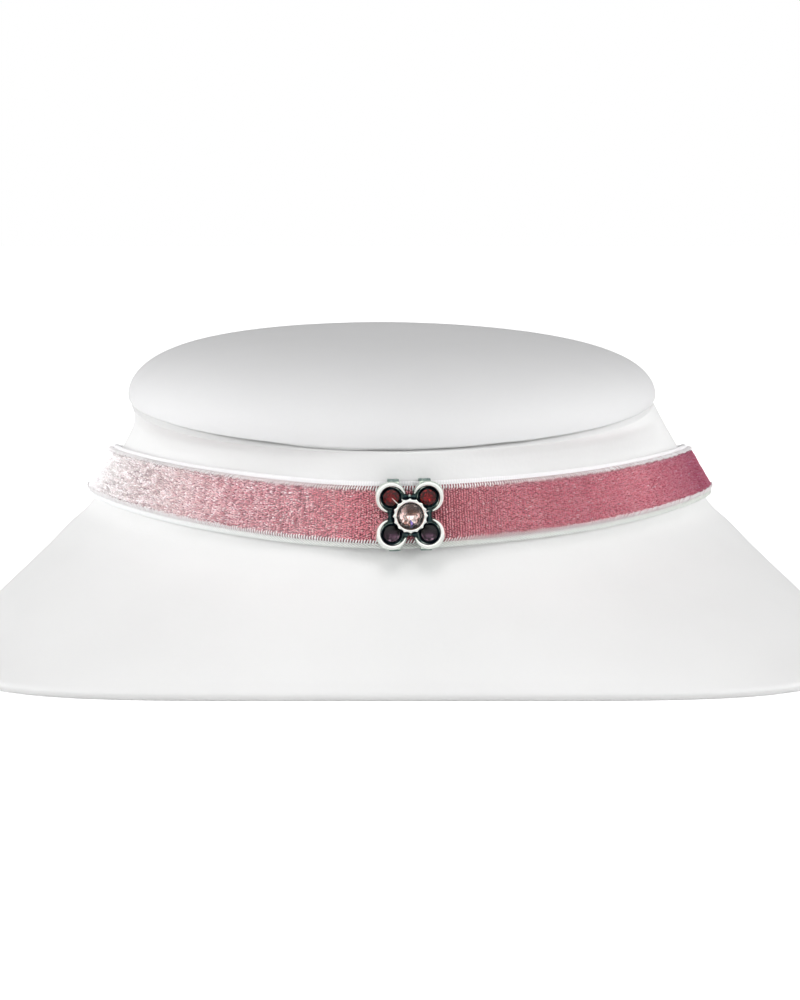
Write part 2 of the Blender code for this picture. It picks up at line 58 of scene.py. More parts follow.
MM = 0.001
FULL_TURN = 2.0 * math.pi
FRONT = math.radians(-90.0)
BACK = math.radians(90.0)

# Neck display bust, the same driving sizes as its solid has
BASE_HALF_WIDTH = 0.5 * (cad_high.x - cad_low.x)
BASE_HALF_DEPTH = 0.5 * (cad_high.y - cad_low.y)
BASE_EDGE_RADIUS = 1.5 * MM
RIBBON_LEVEL = 24.0 * MM
RIBBON_TILT = math.radians(1.25)
BACK_DROP = 2.5 * MM
BACK_DROP_REACH = 10.0 * MM
FRONT_DROP = 0.40 * MM
FRONT_DROP_PLACE = -6.0 * MM
FRONT_DROP_REACH = 16.0 * MM
NECK_HALF_WIDTH = 52.0 * MM
NECK_HALF_DEPTH = 44.3 * MM
NECK_SIDE_LEAN = math.radians(31.0)
NECK_FRONT_LEAN = math.radians(8.2)
NECK_STRAIGHT_HALF = 6.0 * MM
NECK_TOP_LEVEL = 38.0 * MM
NECK_TOP_HALF_WIDTH = 45.2 * MM
NECK_TOP_HALF_DEPTH = 43.4 * MM
NECK_TOP_SHIFT = -1.4 * MM
NECK_TOP_TILT = math.radians(5.4)
RIDGE_SOFTNESS = 0.03
BAND_POWERS = (2.0, 1.12, 1.25)
CHEST_ROWS = (
    # height, side_growth, depth_growth, side_power, front_power, back_power
    (0.00, 1.000, 1.000, 5.5, 4.5, 4.5),
    (0.13, 0.870, 0.930, 3.9, 3.2, 3.3),
    (0.37, 0.625, 0.700, 2.7, 2.4, 2.5),
    (0.60, 0.395, 0.440, 2.2, 1.8, 1.9),
    (0.82, 0.190, 0.180, 2.05, 1.3, 1.4),
)
THROAT_ROWS = (
    # height, narrowing, side_power, front_power, back_power
    (0.30, 0.42, 2.0, 1.35, 1.45),
    (0.62, 0.76, 2.05, 1.75, 1.8),
    (1.00, 1.00, 2.1, 2.1, 2.1),
)

BUST_SIDES = 384
EDGE_STEPS = 6

# Padded cap
CAP_HALF_WIDTH = 45.0 * MM
CAP_HALF_DEPTH = 42.7 * MM
CAP_HEIGHT = 9.9 * MM
CAP_WIDEST_LEVEL = 0.4 * MM
CAP_EDGE_BULGE = 1.0 * MM
CAP_DOME_POWER = 3.47
CAP_SHOULDER_POWER = 2.12
CAP_SQUARENESS = 1.88
CAP_LEAN = 0.056
CAP_NOD = 0.21
SEAM_WAVE = 0.16 * MM
SEAM_WAVES = (
    # waves round the cap, share of the wave's height, turn
    (5, 0.8, 0.4),
    (9, 0.6, 2.1),
    (17, 0.35, 4.0),
    (31, 0.2, 1.2),
)
CAP_TUCKS = (
    # place across the front, half width, lift of the cap's lower edge
    (17.8 * MM, 3.2 * MM, 0.32 * MM),
    (24.5 * MM, 2.4 * MM, 0.14 * MM),
    (-22.0 * MM, 4.0 * MM, 0.15 * MM),
    (-37.0 * MM, 2.6 * MM, 0.22 * MM),
)

# Velvet ribbon
RIBBON_HEIGHT = 10.0 * MM
RIBBON_EDGE_THICKNESS = 1.0 * MM
RIBBON_PILE_THICKNESS = 1.5 * MM
TOP_SELVEDGE = 0.66 * MM
LOW_SELVEDGE = 0.78 * MM
RIBBON_END_GAP = 1.0 * MM
CLASP_HALF_LENGTH = 4.5 * MM
CLASP_WALL = 0.8 * MM
GROUND_THICKNESS = 0.98 * MM
CLOTH_STATIONS = 1100
SELVEDGE_CORDS = 3
CORD_RELIEF = 0.07 * MM
WEFT_PITCH = 0.42 * MM
PILE_ROW_PITCH = 0.36 * MM
PILE_PARTS = 3
PILE_LOW_INSET = 0.38 * MM
PILE_TOP_INSET = 0.26 * MM
PILE_EDGE_FADE = 0.5 * MM
PILE_EDGE_DROP = 0.30 * MM
BLADES_PER_TUFT = 3
BLADE_FOOT = 0.125 * MM
BLADE_TIP = 0.08 * MM
BLADE_SPREAD = 0.10 * MM
BLADE_LEAN = 0.13 * MM
NAP_LEAN = -0.9
TWILL_PITCH = 0.55 * MM
TOOTH_RADIUS = 0.11 * MM
TEETH = (
    # side of the ribbon, length, slant, foot on the selvedge
    (-1.0, 0.74 * MM, 0.30 * MM, 0.10 * MM),
    (1.0, 0.72 * MM, -0.16 * MM, 0.04 * MM),
)
TOOTH_RISE = 0.74 * MM
TOP_HAZE = 0.9 * MM
# Painted light along the ribbon's front: painted sheen and a painted white highlight toward the left end,
# painted plum shade toward the right end
PAINTED_LIGHT_ROWS = (
    # place across in mm, share of painted sheen, of painted white highlight, of painted plum shade
    (-55.0, 1.00, 1.00, 0.00),
    (-52.2, 1.00, 0.95, 0.00),
    (-50.8, 0.97, 0.52, 0.00),
    (-49.2, 0.94, 0.22, 0.00),
    (-46.5, 0.90, 0.08, 0.04),
    (-44.3, 0.86, 0.00, 0.06),
    (-38.3, 0.77, 0.00, 0.04),
    (-34.2, 0.68, 0.00, 0.02),
    (-29.4, 0.54, 0.00, 0.08),
    (-24.8, 0.43, 0.00, 0.15),
    (-19.4, 0.35, 0.00, 0.15),
    (-14.2, 0.28, 0.00, 0.12),
    (-9.2, 0.15, 0.00, 0.03),
    (-5.3, 0.07, 0.00, 0.00),
    (8.3, 0.05, 0.00, 0.00),
    (17.0, 0.05, 0.00, 0.13),
    (27.2, 0.04, 0.00, 0.42),
    (38.7, 0.06, 0.00, 0.38),
    (43.6, 0.03, 0.00, 0.62),
    (47.4, 0.00, 0.00, 0.80),
    (50.4, 0.00, 0.00, 0.97),
)
LIFT_FADE = 9.0 * MM
PATH_STEPS = 4096

# Slider ornament, in its own plane: across, up and out of the ribbon
ORNAMENT_SHIFT = 1.35 * MM
PLATE_THICKNESS = 0.7 * MM
PETAL_ACROSS = 2.74 * MM
PETAL_UP = 2.66 * MM
RIM_OUTER_RADIUS = 2.37 * MM
RIM_WALL = 0.80 * MM
RIM_HEIGHT = 1.15 * MM
RIM_OPENING = math.radians(118.0)
RIM_TIP_SHARE = 0.30
CUP_WALL = 0.40 * MM
CUP_HEIGHT = 0.60 * MM
PETAL_STONE_RADIUS = 1.25 * MM
BEZEL_INNER_RADIUS = 2.0 * MM
BEZEL_WALL = 0.48 * MM
BEZEL_FOOT_RADIUS = 2.2 * MM
BEZEL_HEIGHT = 1.9 * MM
BEZEL_TOOTH = 0.14 * MM
BEZEL_TEETH = 16
BAR_ACROSS = 2.35 * MM
BAR_WIDTH = 1.7 * MM
BAR_THICKNESS = 0.4 * MM
CLEARANCE = 0.3 * MM
EDGE_CLEARANCE = 0.15 * MM
STONE_GAP = 0.07 * MM
SINK = 0.2 * MM
CAST_VOXEL = 0.075 * MM

# The photograph's view: a long lens a little above the neck
CAMERA_DISTANCE = 0.280
CAMERA_ELEVATION = math.radians(10.4)
CAMERA_AIM = Vector((0.0, 0.0, 0.0187))
CAMERA_LENS_MM = 56.34

# Lights: a faint fill, the tent that gloss and glass show, and soft panels round the neck
FILL_LIGHT = 0.09
TENT_LOW = 0.85
TENT_HIGH = 1.30
TENT_BACK = 0.12
STONE_GLOW = 1.9
FLOOR_GLOW = 1.0
LIGHT_TARGET = Vector((0.0, 0.0, 0.025))
PANEL_DISTANCE = 0.6
PANEL_SIZE = (0.3, 0.3)
PANELS = (
    # name, power, azimuth, elevation
    ("left_front_panel", 1.33, -50.0, 20.0),
    ("right_front_panel", 1.62, 50.0, 20.0),
    ("left_panel", 1.62, -90.0, 8.0),
    ("right_panel", 0.82, 90.0, 8.0),
    ("top_panel", 0.88, 0.0, 60.0),
    ("left_back_panel", 0.35, -120.0, 30.0),
    ("right_back_panel", 0.45, 120.0, 30.0),
)
PILE_PANELS = (
    # name, power, azimuth, elevation, width and height
    ("nap_light", 0.9, -118.0, 10.0, (0.12, 0.25)),
    ("pile_light", 2.2, 0.0, 25.0, (0.20, 0.20)),
)


# Shapes shared by the pieces


def blend(start, end, share):
    """Go from start to end by a share."""
    return start + (end - start) * share


def ease(value, start, width):
    """Nothing up to the start, rising to one over the width."""
    return np.clip((value - start) / width, 0.0, 1.0)


def ring_angles(sides):
    """Directions round a closed ring."""
    return FULL_TURN * np.arange(sides) / sides


def ring(distance, angles, height):
    """Points at distances from the middle, at one height or a height each."""
    return np.stack((distance * np.cos(angles), distance * np.sin(angles),
                     np.broadcast_to(height, angles.shape)), axis=-1)


def outline_distance(angles, half_width, half_depth, powers):
    """Distances from the middle to a rounded outline, whose side ridges are softened."""
    side_power, front_power, back_power = powers
    across = np.abs(np.cos(angles))
    along = np.abs(np.sin(angles))
    depth_power = np.where(np.sin(angles) < 0.0, front_power, back_power)
    full = math.sqrt(1.0 + RIDGE_SOFTNESS ** 2) - RIDGE_SOFTNESS
    low = np.zeros_like(angles)
    high = np.full_like(angles, 2.0 * max(half_width, half_depth))
    for _ in range(44):
        middle = 0.5 * (low + high)
        depth_share = middle * along / half_depth
        softened = (np.sqrt(depth_share ** 2 + RIDGE_SOFTNESS ** 2) - RIDGE_SOFTNESS) / full
        reach = (middle * across / half_width) ** side_power + softened ** depth_power
        low = np.where(reach < 1.0, middle, low)
        high = np.where(reach < 1.0, high, middle)
    return 0.5 * (low + high)


def band_size(level):
    """Half-width and half-depth of the straight neck band at a height."""
    rise = level - RIBBON_LEVEL
    half_width = NECK_HALF_WIDTH - rise * math.tan(NECK_SIDE_LEAN)
    half_depth = NECK_HALF_DEPTH - rise * math.tan(NECK_FRONT_LEAN)
    return half_width, half_depth


def band_sag(across, along):
    """How far the band stands above its middle level."""
    drop = BACK_DROP * (1.0 - np.exp(-np.maximum(along, 0.0) / BACK_DROP_REACH))
    dip = FRONT_DROP * np.exp(-((across - FRONT_DROP_PLACE) / FRONT_DROP_REACH) ** 2)
    return -math.tan(RIBBON_TILT) * along - drop - dip * np.where(along < 0.0, 1.0, 0.0)


def band_points(angles, level):
    """Points on the straight neck band."""
    half_width, half_depth = band_size(level)
    points = ring(outline_distance(angles, half_width, half_depth, BAND_POWERS), angles, level)
    points[..., 2] += band_sag(points[..., 0], points[..., 1])
    return points


def unit(vectors):
    """Vectors of length one."""
    return vectors / np.linalg.norm(vectors, axis=-1, keepdims=True)


def flat_bump(distance, flat_half, fade):
    """One on the flat, easing to nothing over the fade."""
    return 0.5 + 0.5 * np.cos(math.pi * ease(np.abs(distance), flat_half, fade))


def angle_at(across, facing):
    """Direction in which the band passes a distance across the middle, in front or behind."""
    angles = np.linspace(facing - math.radians(30.0), facing + math.radians(30.0), 2001)
    reach = band_points(angles, RIBBON_LEVEL)[:, 0]
    order = np.argsort(reach)
    return float(np.interp(across, reach[order], angles[order]))


def ribbon_frames(angles):
    """Places of the ribbon's inner middle line and its along, up and out directions."""
    nudge = math.radians(1.0)
    middle = band_points(angles, RIBBON_LEVEL)
    along = unit(band_points(angles + nudge, RIBBON_LEVEL) - band_points(angles - nudge, RIBBON_LEVEL))
    outward = unit(np.stack((along[:, 1], -along[:, 0], np.zeros(len(angles))), axis=-1))
    upper = band_points(angles, RIBBON_LEVEL + 0.5 * RIBBON_HEIGHT)
    lower = band_points(angles, RIBBON_LEVEL - 0.5 * RIBBON_HEIGHT)
    lean = np.arctan2(np.sum((lower - upper) * outward, axis=1), RIBBON_HEIGHT)[:, None]
    rising = np.array((0.0, 0.0, 1.0)) * np.cos(lean) - outward * np.sin(lean)
    up = unit(rising - along * np.sum(rising * along, axis=1, keepdims=True))
    out = np.cross(along, up)
    ornament = (BAR_THICKNESS + CLEARANCE) * flat_bump(
        middle[:, 0] - ORNAMENT_SHIFT, BAR_ACROSS + BAR_WIDTH, LIFT_FADE)
    clasp = (CLASP_WALL + CLEARANCE) * flat_bump(middle[:, 0], CLASP_HALF_LENGTH + CLEARANCE, LIFT_FADE)
    lift = np.where(middle[:, 1] < 0.0, ornament, clasp)
    return middle + out * (CLEARANCE + lift)[:, None], along, up, out


class RibbonPath:
    """The ribbon's line round the neck, read by the distance along it from its end in the clasp."""

    def __init__(self):
        start = angle_at(-0.5 * RIBBON_END_GAP, BACK)
        end = angle_at(0.5 * RIBBON_END_GAP, BACK) + FULL_TURN
        place, along, up, out = ribbon_frames(np.linspace(start, end, PATH_STEPS))
        line = place + out * 0.5 * RIBBON_PILE_THICKNESS
        steps = np.linalg.norm(np.diff(line, axis=0), axis=1)
        self.distance = np.concatenate(((0.0,), np.cumsum(steps)))
        self.length = float(self.distance[-1])
        self.table = np.concatenate((place, up, out, along), axis=1)

    def at(self, distance, height, away):
        """Points at distances along, heights across the width and distances out of the ribbon."""
        read = [np.interp(distance, self.distance, column) for column in self.table.T]
        place = np.stack(read[0:3], axis=-1)
        up = np.stack(read[3:6], axis=-1)
        out = np.stack(read[6:9], axis=-1)
        return place + up * np.asarray(height)[..., None] + out * np.asarray(away)[..., None]


def ornament_matrix():
    """Place and turn of the ornament's plane: across, up and out."""
    place, along, up, out = ribbon_frames(np.array((angle_at(ORNAMENT_SHIFT, FRONT),)))
    origin = Vector(place[0] + out[0] * (RIBBON_PILE_THICKNESS + CLEARANCE))
    turn = Matrix((along[0], up[0], out[0])).transposed().to_4x4()
    return Matrix.Translation(origin) @ turn


# Mesh helpers


def make_piece(name, points, faces, smooth=True):
    """New mesh object from points and faces."""
    data = bpy.data.meshes.new(name)
    data.from_pydata(np.asarray(points, float).reshape(-1, 3).tolist(), [], faces)
    data.validate()
    if smooth:
        data.shade_smooth()
    made = bpy.data.objects.new(name, data)
    bpy.context.scene.collection.objects.link(made)
    return made


def grid_faces(rows, sides, closed=False, first=0):
    """Quads between closed rows of points, as lists of point numbers."""
    row = np.arange(rows if closed else rows - 1)[:, None]
    side = np.arange(sides)[None, :]
    after = (side + 1) % sides
    above = (row + 1) % rows * sides
    row = row * sides
    corners = (row + side, row + after, above + after, above + side)
    return (np.stack([corner.ravel() for corner in corners], axis=1) + first).tolist()


def end_faces(rows, sides, first=0):
    """The two faces that close an open run of rows."""
    last = first + (rows - 1) * sides
    return [list(range(first, first + sides))[::-1], list(range(last, last + sides))]


def loft(name, rows, closed=False):
    """Rows of points of equal length joined into a closed body."""
    rows = np.asarray(rows)
    count, sides = rows.shape[:2]
    faces = grid_faces(count, sides, closed)
    return make_piece(name, rows, faces if closed else faces + end_faces(count, sides))


def smooth_rows(rows, spacing):
    """Rows added between coarse ones on a smooth curve through them, about a spacing apart."""
    rows = np.asarray(rows)
    gaps = np.linalg.norm(np.diff(rows, axis=0), axis=2).mean(axis=1)
    knots = np.concatenate(((0.0,), np.cumsum(gaps)))
    slopes = np.gradient(rows, knots, axis=0)
    fine = [rows[:1]]
    for number, gap in enumerate(gaps):
        steps = max(1, int(round(gap / spacing)))
        t = (np.arange(1, steps + 1) / steps)[:, None, None]
        start, end = rows[number], rows[number + 1]
        first, last = slopes[number] * gap, slopes[number + 1] * gap
        curve = ((2 * t ** 3 - 3 * t ** 2 + 1) * start + (t ** 3 - 2 * t ** 2 + t) * first
                 + (-2 * t ** 3 + 3 * t ** 2) * end + (t ** 3 - t ** 2) * last)
        fine.append(curve)
    return np.concatenate(fine)


def add_values(piece, name, values, kind="POINT"):
    """Store one number for each point or face, for the material to read."""
    layer = piece.data.attributes.new(name, "FLOAT", kind)
    layer.data.foreach_set("value", np.asarray(values, np.float32).ravel())


def dress(piece, material, slot_name, *replaced):
    """Give a piece its material, its body and the nodes that it stands for."""
    piece.data.materials.append(material)
    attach(piece, "root")
    if replaced:
        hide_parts(*replaced)
    return piece


# Materials


class Shading:
    """A Principled material and short ways to add nodes to it."""

    def __init__(self, name, **sockets):
        self.material = bpy.data.materials.new(name)
        self.material.use_nodes = True
        self.nodes = self.material.node_tree.nodes
        self.links = self.material.node_tree.links
        self.shader = self.nodes["Principled BSDF"]
        self.show(**sockets)

    def set(self, node, socket, value):
        """Link or set one input."""
        target = node.inputs[socket]
        if isinstance(value, bpy.types.NodeSocket):
            self.links.new(value, target)
        elif isinstance(value, (tuple, list)) and target.type == "RGBA" and len(value) == 3:
            target.default_value = (*value, 1.0)
        else:
            target.default_value = value

    def show(self, **sockets):
        """Link or set inputs of the shader, named with underscores for spaces."""
        for socket, value in sockets.items():
            self.set(self.shader, socket.replace("_", " "), value)

    def node(self, kind, settings=None, **sockets):
        """Add a node and fill its inputs."""
        made = self.nodes.new(kind)
        for name, value in (settings or {}).items():
            setattr(made, name, value)
        for socket, value in sockets.items():
            self.set(made, socket.replace("_", " "), value)
        return made

    def place(self, scale=(1.0, 1.0, 1.0)):
        """Object coordinates, stretched."""
        where = self.node("ShaderNodeTexCoord").outputs["Object"]
        return self.node("ShaderNodeMapping", Vector=where, Scale=scale).outputs["Vector"]

    def noise(self, scale, detail=2.0, rough=0.5, where=None):
        """Noise from 0 to 1 at a scale per metre."""
        where = where or self.place()
        return self.node("ShaderNodeTexNoise", Vector=where, Scale=scale, Detail=detail,
                         Roughness=rough).outputs["Fac"]

    def value(self, name):
        """A number stored on the mesh."""
        return self.node("ShaderNodeAttribute", {"attribute_name": name}).outputs["Fac"]

    def math(self, operation, first, second=0.0, third=0.0):
        """One sum on numbers."""
        made = self.node("ShaderNodeMath", {"operation": operation})
        for number, value in enumerate((first, second, third)):
            self.set(made, number, value)
        return made.outputs[0]

    def ramp(self, factor, stops):
        """Colours or greys along a factor."""
        made = self.node("ShaderNodeValToRGB", Fac=factor)
        points = made.color_ramp.elements
        while len(points) < len(stops):
            points.new(1.0)
        for point, (where, colour) in zip(points, stops):
            point.position = where
            point.color = (*colour, 1.0) if isinstance(colour, tuple) else (colour, colour, colour, 1.0)
        return made.outputs["Color"]

    def mix(self, factor, first, second, kind="MIX"):
        """Mix two colours."""
        made = self.node("ShaderNodeMix", {"data_type": "RGBA", "blend_type": kind})
        self.set(made, 0, factor)
        self.set(made, 6, first)
        self.set(made, 7, second)
        return made.outputs[2]

    def bump(self, height, distance, strength=1.0, normal=None):
        """Fine relief."""
        made = self.node("ShaderNodeBump", Height=height, Distance=distance, Strength=strength)
        if normal:
            self.set(made, "Normal", normal)
        return made.outputs["Normal"]


def leatherette(name, colour):
    """Smooth white coated cloth with a very fine grain."""
    look = Shading(name, Roughness=0.5, Specular_IOR_Level=0.3)
    cloudy = look.noise(35.0, 3.0)
    dusty = tuple(0.965 * part for part in colour)
    look.show(Base_Color=look.mix(look.ramp(cloudy, ((0.35, 0.0), (0.7, 1.0))), colour, dusty))
    grain = look.node("ShaderNodeTexVoronoi", {"feature": "SMOOTH_F1"}, Scale=1700.0, Vector=look.place())
    pores = look.noise(2600.0, 2.0)
    relief = look.math("ADD", grain.outputs["Distance"], look.math("MULTIPLY", pores, 0.4))
    look.show(Normal=look.bump(relief, 0.05 * MM, 0.35),
              Roughness=look.math("MULTIPLY_ADD", cloudy, 0.12, 0.42))
    return look.material


def velvet(name):
    """Rose pile with each tuft's own tone: painted shade at the roots, painted sheen and a painted white
    highlight toward the left end, painted plum shade toward the right end.
    """
    look = Shading(name, Roughness=0.55, Sheen_Weight=0.35, Sheen_Roughness=0.4, Specular_IOR_Level=0.3)
    look.show(Sheen_Tint=(1.0, 0.9, 0.92))
    shade = look.value("shade")
    rose = look.ramp(shade, ((0.0, (0.48, 0.110, 0.150)), (0.45, (0.88, 0.285, 0.345)),
                             (0.85, (0.94, 0.50, 0.54)), (1.0, (0.98, 0.90, 0.90))))
    # Painted sheen: pale grey tips that turn white under the painted highlight, laid over the rose by share
    sheen_paint = look.ramp(shade, ((0.0, (0.40, 0.37, 0.37)), (0.45, (0.59, 0.60, 0.58)),
                                (1.0, (1.0, 1.0, 1.0))))
    sheen_paint = look.mix(look.value("bleach"), sheen_paint, (0.98, 0.98, 1.0))
    tips = look.mix(look.value("frost"), rose, sheen_paint)
    # Painted plum shade: the tips darkened by share
    tips = look.mix(look.value("plum"), tips, look.mix(1.0, tips, (0.37, 0.21, 0.32), "MULTIPLY"))
    # Painted shade at the roots: the lower part of each blade is darker than its tip
    root_shade = look.mix(1.0, tips, (0.60, 0.46, 0.54), "MULTIPLY")
    look.show(Base_Color=look.mix(look.ramp(look.value("rise"), ((0.1, 0.0), (0.8, 1.0))), root_shade, tips))
    return look.material


def woven(name):
    """The ribbon's cloth: smooth white upper selvedge, twilled lower one and the rose ground between."""
    look = Shading(name, Roughness=0.75, Sheen_Weight=0.3, Sheen_Roughness=0.4)
    edge = look.value("edge")
    side = look.value("side")
    along = look.value("along")
    weft = look.math("SINE", look.math("MULTIPLY", along, FULL_TURN / WEFT_PITCH))
    slanted = look.math("ADD", along, look.math("MULTIPLY", side, 1.6))
    twill = look.math("SINE", look.math("MULTIPLY", slanted, FULL_TURN / TWILL_PITCH))
    uneven = look.math("MULTIPLY_ADD", look.noise(1500.0, 2.0), 1.6, -0.8)
    twill_share = look.math("MULTIPLY_ADD", look.math("ADD", twill, uneven), 0.5, 0.5)
    plain_share = look.math("MULTIPLY_ADD", weft, 0.5, 0.5)
    low = look.ramp(twill_share, ((0.1, (0.52, 0.56, 0.52)), (0.5, (0.74, 0.77, 0.73)),
                                  (0.9, (0.90, 0.91, 0.88))))
    top = look.ramp(plain_share, ((0.0, (0.86, 0.85, 0.87)), (0.6, (0.95, 0.94, 0.95))))
    upper = look.math("GREATER_THAN", side, 0.0)
    ground = look.ramp(plain_share, ((0.2, (0.24, 0.055, 0.075)), (0.8, (0.36, 0.10, 0.125))))
    # Painted sheen: the ground and the lower selvedge turn pale by the painted share toward the left end
    frost = look.value("frost")
    ground = look.mix(frost, ground, (0.90, 0.89, 0.90))
    low = look.mix(frost, low, (0.93, 0.94, 0.95))
    relief = look.mix(upper, twill_share, look.math("MULTIPLY", plain_share, 0.4))
    look.show(Base_Color=look.mix(edge, ground, look.mix(upper, low, top)),
              Normal=look.bump(relief, 0.06 * MM, 0.9))
    return look.material


def thread(name):
    """White stitch thread."""
    look = Shading(name, Roughness=0.6, Sheen_Weight=0.4, Sheen_Roughness=0.3)
    soft = look.noise(1400.0, 2.0)
    look.show(Base_Color=look.ramp(soft, ((0.3, (0.88, 0.84, 0.85)), (0.6, (0.98, 0.97, 0.97)))))
    return look.material


def antique_silver(name):
    """Plated metal: creamy on its high parts, greenish on its walls, blackened in its recesses."""
    look = Shading(name, Metallic=1.0)
    dark = look.value("patina")
    patchy = look.math("SUBTRACT", look.noise(1100.0, 3.0, 0.6), 0.5)
    share = look.math("ADD", dark, look.math("MULTIPLY", patchy, 0.42))
    tone = look.ramp(share, ((0.10, (0.95, 0.97, 0.93)), (0.34, (0.68, 0.78, 0.67)),
                             (0.50, (0.20, 0.27, 0.25)), (0.62, (0.075, 0.115, 0.112)),
                             (0.78, (0.014, 0.034, 0.040)), (0.97, (0.003, 0.005, 0.008))))
    cover = look.ramp(share, ((0.40, 0.0), (0.65, 1.0)))
    grain = look.bump(look.noise(2400.0, 2.0), 0.02 * MM, 0.5)
    look.show(Base_Color=tone, Roughness=look.math("MULTIPLY_ADD", cover, 0.12, 0.24),
              Normal=look.bump(look.noise(650.0, 3.0, 0.6), 0.12 * MM, cover, grain))
    return look.material


def brushed_metal(name):
    """Plain clasp metal with fine lengthwise scratches."""
    look = Shading(name, Metallic=1.0)
    scratches = look.noise(300.0, 3.0, 0.6, look.place((1.0, 12.0, 12.0)))
    look.show(Base_Color=look.ramp(scratches, ((0.3, (0.50, 0.51, 0.50)), (0.7, (0.62, 0.63, 0.62)))),
              Roughness=look.math("MULTIPLY_ADD", scratches, 0.2, 0.22),
              Normal=look.bump(scratches, 0.02 * MM, 0.4))
    return look.material


def cut_glass(name, colour, index, gloss):
    """Clear tinted glass of a stone's crown."""
    look = Shading(name, Roughness=0.0, IOR=index, Specular_IOR_Level=gloss)
    deep = tuple(0.92 * part for part in colour)
    look.show(Transmission_Weight=1.0, Base_Color=look.mix(look.noise(700.0, 1.0), colour, deep))
    return look.material


def foil(name, stops, roughness):
    """Mirror foil on a stone's back, each facet with its own painted reflection tone."""
    look = Shading(name, Metallic=1.0, Roughness=roughness)
    tone = look.ramp(look.value("flash"), stops)
    worn = look.mix(1.0, tone, (0.8, 0.8, 0.8), "MULTIPLY")
    look.show(Base_Color=look.mix(look.noise(900.0, 2.0), tone, worn))
    return look.material


# Bust


def bust_rows():
    """Coarse rings of the bust from its base to the neck's top."""
    angles = ring_angles(BUST_SIDES)
    band_foot = RIBBON_LEVEL - NECK_STRAIGHT_HALF
    band_head = RIBBON_LEVEL + NECK_STRAIGHT_HALF
    foot_width, foot_depth = band_size(band_foot)
    head_width, head_depth = band_size(band_head)
    rows = []

    def add_ring(level, half_width, half_depth, powers, sag=0.0, top=0.0):
        points = ring(outline_distance(angles, half_width, half_depth, powers), angles, level)
        across, along, height = points.T
        across += top * NECK_TOP_SHIFT
        height += sag * band_sag(across, along) + top * math.tan(NECK_TOP_TILT) * along
        rows.append(points)

    for height, side_growth, depth_growth, *powers in CHEST_ROWS:
        level = BASE_EDGE_RADIUS + height * (band_foot - BASE_EDGE_RADIUS)
        half_width = blend(foot_width, BASE_HALF_WIDTH, side_growth)
        half_depth = blend(foot_depth, BASE_HALF_DEPTH, depth_growth)
        add_ring(level, half_width, half_depth, powers, height ** 2)
    for level in (band_foot, RIBBON_LEVEL, band_head):
        add_ring(level, *band_size(level), BAND_POWERS, 1.0)
    for height, narrowing, *powers in THROAT_ROWS:
        level = blend(band_head, NECK_TOP_LEVEL, height)
        half_width = blend(head_width, NECK_TOP_HALF_WIDTH, narrowing)
        half_depth = blend(head_depth, NECK_TOP_HALF_DEPTH, narrowing)
        add_ring(level, half_width, half_depth, powers, 1.0 - height, height ** 2)
    return rows


def build_bust():
    """Smooth form of chest, shoulders and neck, with a rounded lower edge."""
    rows = smooth_rows(bust_rows(), 0.55 * MM)
    angles = ring_angles(BUST_SIDES)
    edge = []
    for step in range(EDGE_STEPS):
        turn = 0.5 * math.pi * step / EDGE_STEPS
        inset = BASE_EDGE_RADIUS * (1.0 - math.sin(turn))
        lift = BASE_EDGE_RADIUS * (1.0 - math.cos(turn))
        distance = outline_distance(angles, BASE_HALF_WIDTH - inset, BASE_HALF_DEPTH - inset,
                                    CHEST_ROWS[0][3:])
        edge.append(ring(distance, angles, lift))
    bust = loft("smooth_bust", np.concatenate((edge, rows)))
    dress(bust, leatherette("bust_leatherette", (0.865, 0.865, 0.862)), "bust_leatherette", "bust_form")


def cap_profile(edge_steps, dome_steps):
    """Cap section from its seam: share of the outline, spread beyond it, height, nearness to the seam."""
    rows = []
    for step in range(edge_steps):
        turn = 0.5 * math.pi * step / edge_steps
        level = CAP_WIDEST_LEVEL * (1.0 - math.cos(turn))
        rows.append((1.0, CAP_EDGE_BULGE * math.sin(turn), level, math.cos(turn) ** 2))
    for step in range(dome_steps):
        turn = 0.5 * math.pi * step / dome_steps
        share = math.cos(turn) ** (2.0 / CAP_DOME_POWER)
        rise = math.sin(turn) ** (2.0 / CAP_SHOULDER_POWER)
        rows.append((share, CAP_EDGE_BULGE * share, blend(CAP_WIDEST_LEVEL, CAP_HEIGHT, rise), 0.0))
    return rows


def build_cap():
    """Padded cap with a soft, slightly uneven edge and a shallow dome."""
    angles = ring_angles(BUST_SIDES)
    wave = sum(share * np.sin(waves * angles + turn) for waves, share, turn in SEAM_WAVES) * SEAM_WAVE
    front_across = CAP_HALF_WIDTH * np.cos(angles)
    tucks = sum(lift * np.exp(-((front_across - across) / half) ** 2) for across, half, lift in CAP_TUCKS)
    tucks = np.where(np.sin(angles) < 0.0, tucks, 0.0)
    rows = []
    for share, spread, height, low_edge in cap_profile(12, 64):
        distance = outline_distance(angles, CAP_HALF_WIDTH * share + spread,
                                    CAP_HALF_DEPTH * share + spread, (CAP_SQUARENESS,) * 3)
        distance = distance - low_edge * tucks * 0.8
        across = distance * np.cos(angles)
        along = distance * np.sin(angles)
        stuffing = 1.0 - CAP_LEAN * across / CAP_HALF_WIDTH - CAP_NOD * along / CAP_HALF_DEPTH
        level = CLEARANCE + height * stuffing + low_edge * (wave + tucks)
        rows.append(np.stack((across, along, np.maximum(level, 0.0)), axis=-1))
    cap = loft("padded_cap", rows)
    cap.data.transform(Matrix.Translation((NECK_TOP_SHIFT, 0.0, NECK_TOP_LEVEL))
                       @ Matrix.Rotation(NECK_TOP_TILT, 4, "X"))
    # The cap's white is darker than the bust's: painted shade for its top
    dress(cap, leatherette("cap_leatherette", (0.765, 0.765, 0.77)), "cap_leatherette", "neck_cap")


# Ribbon


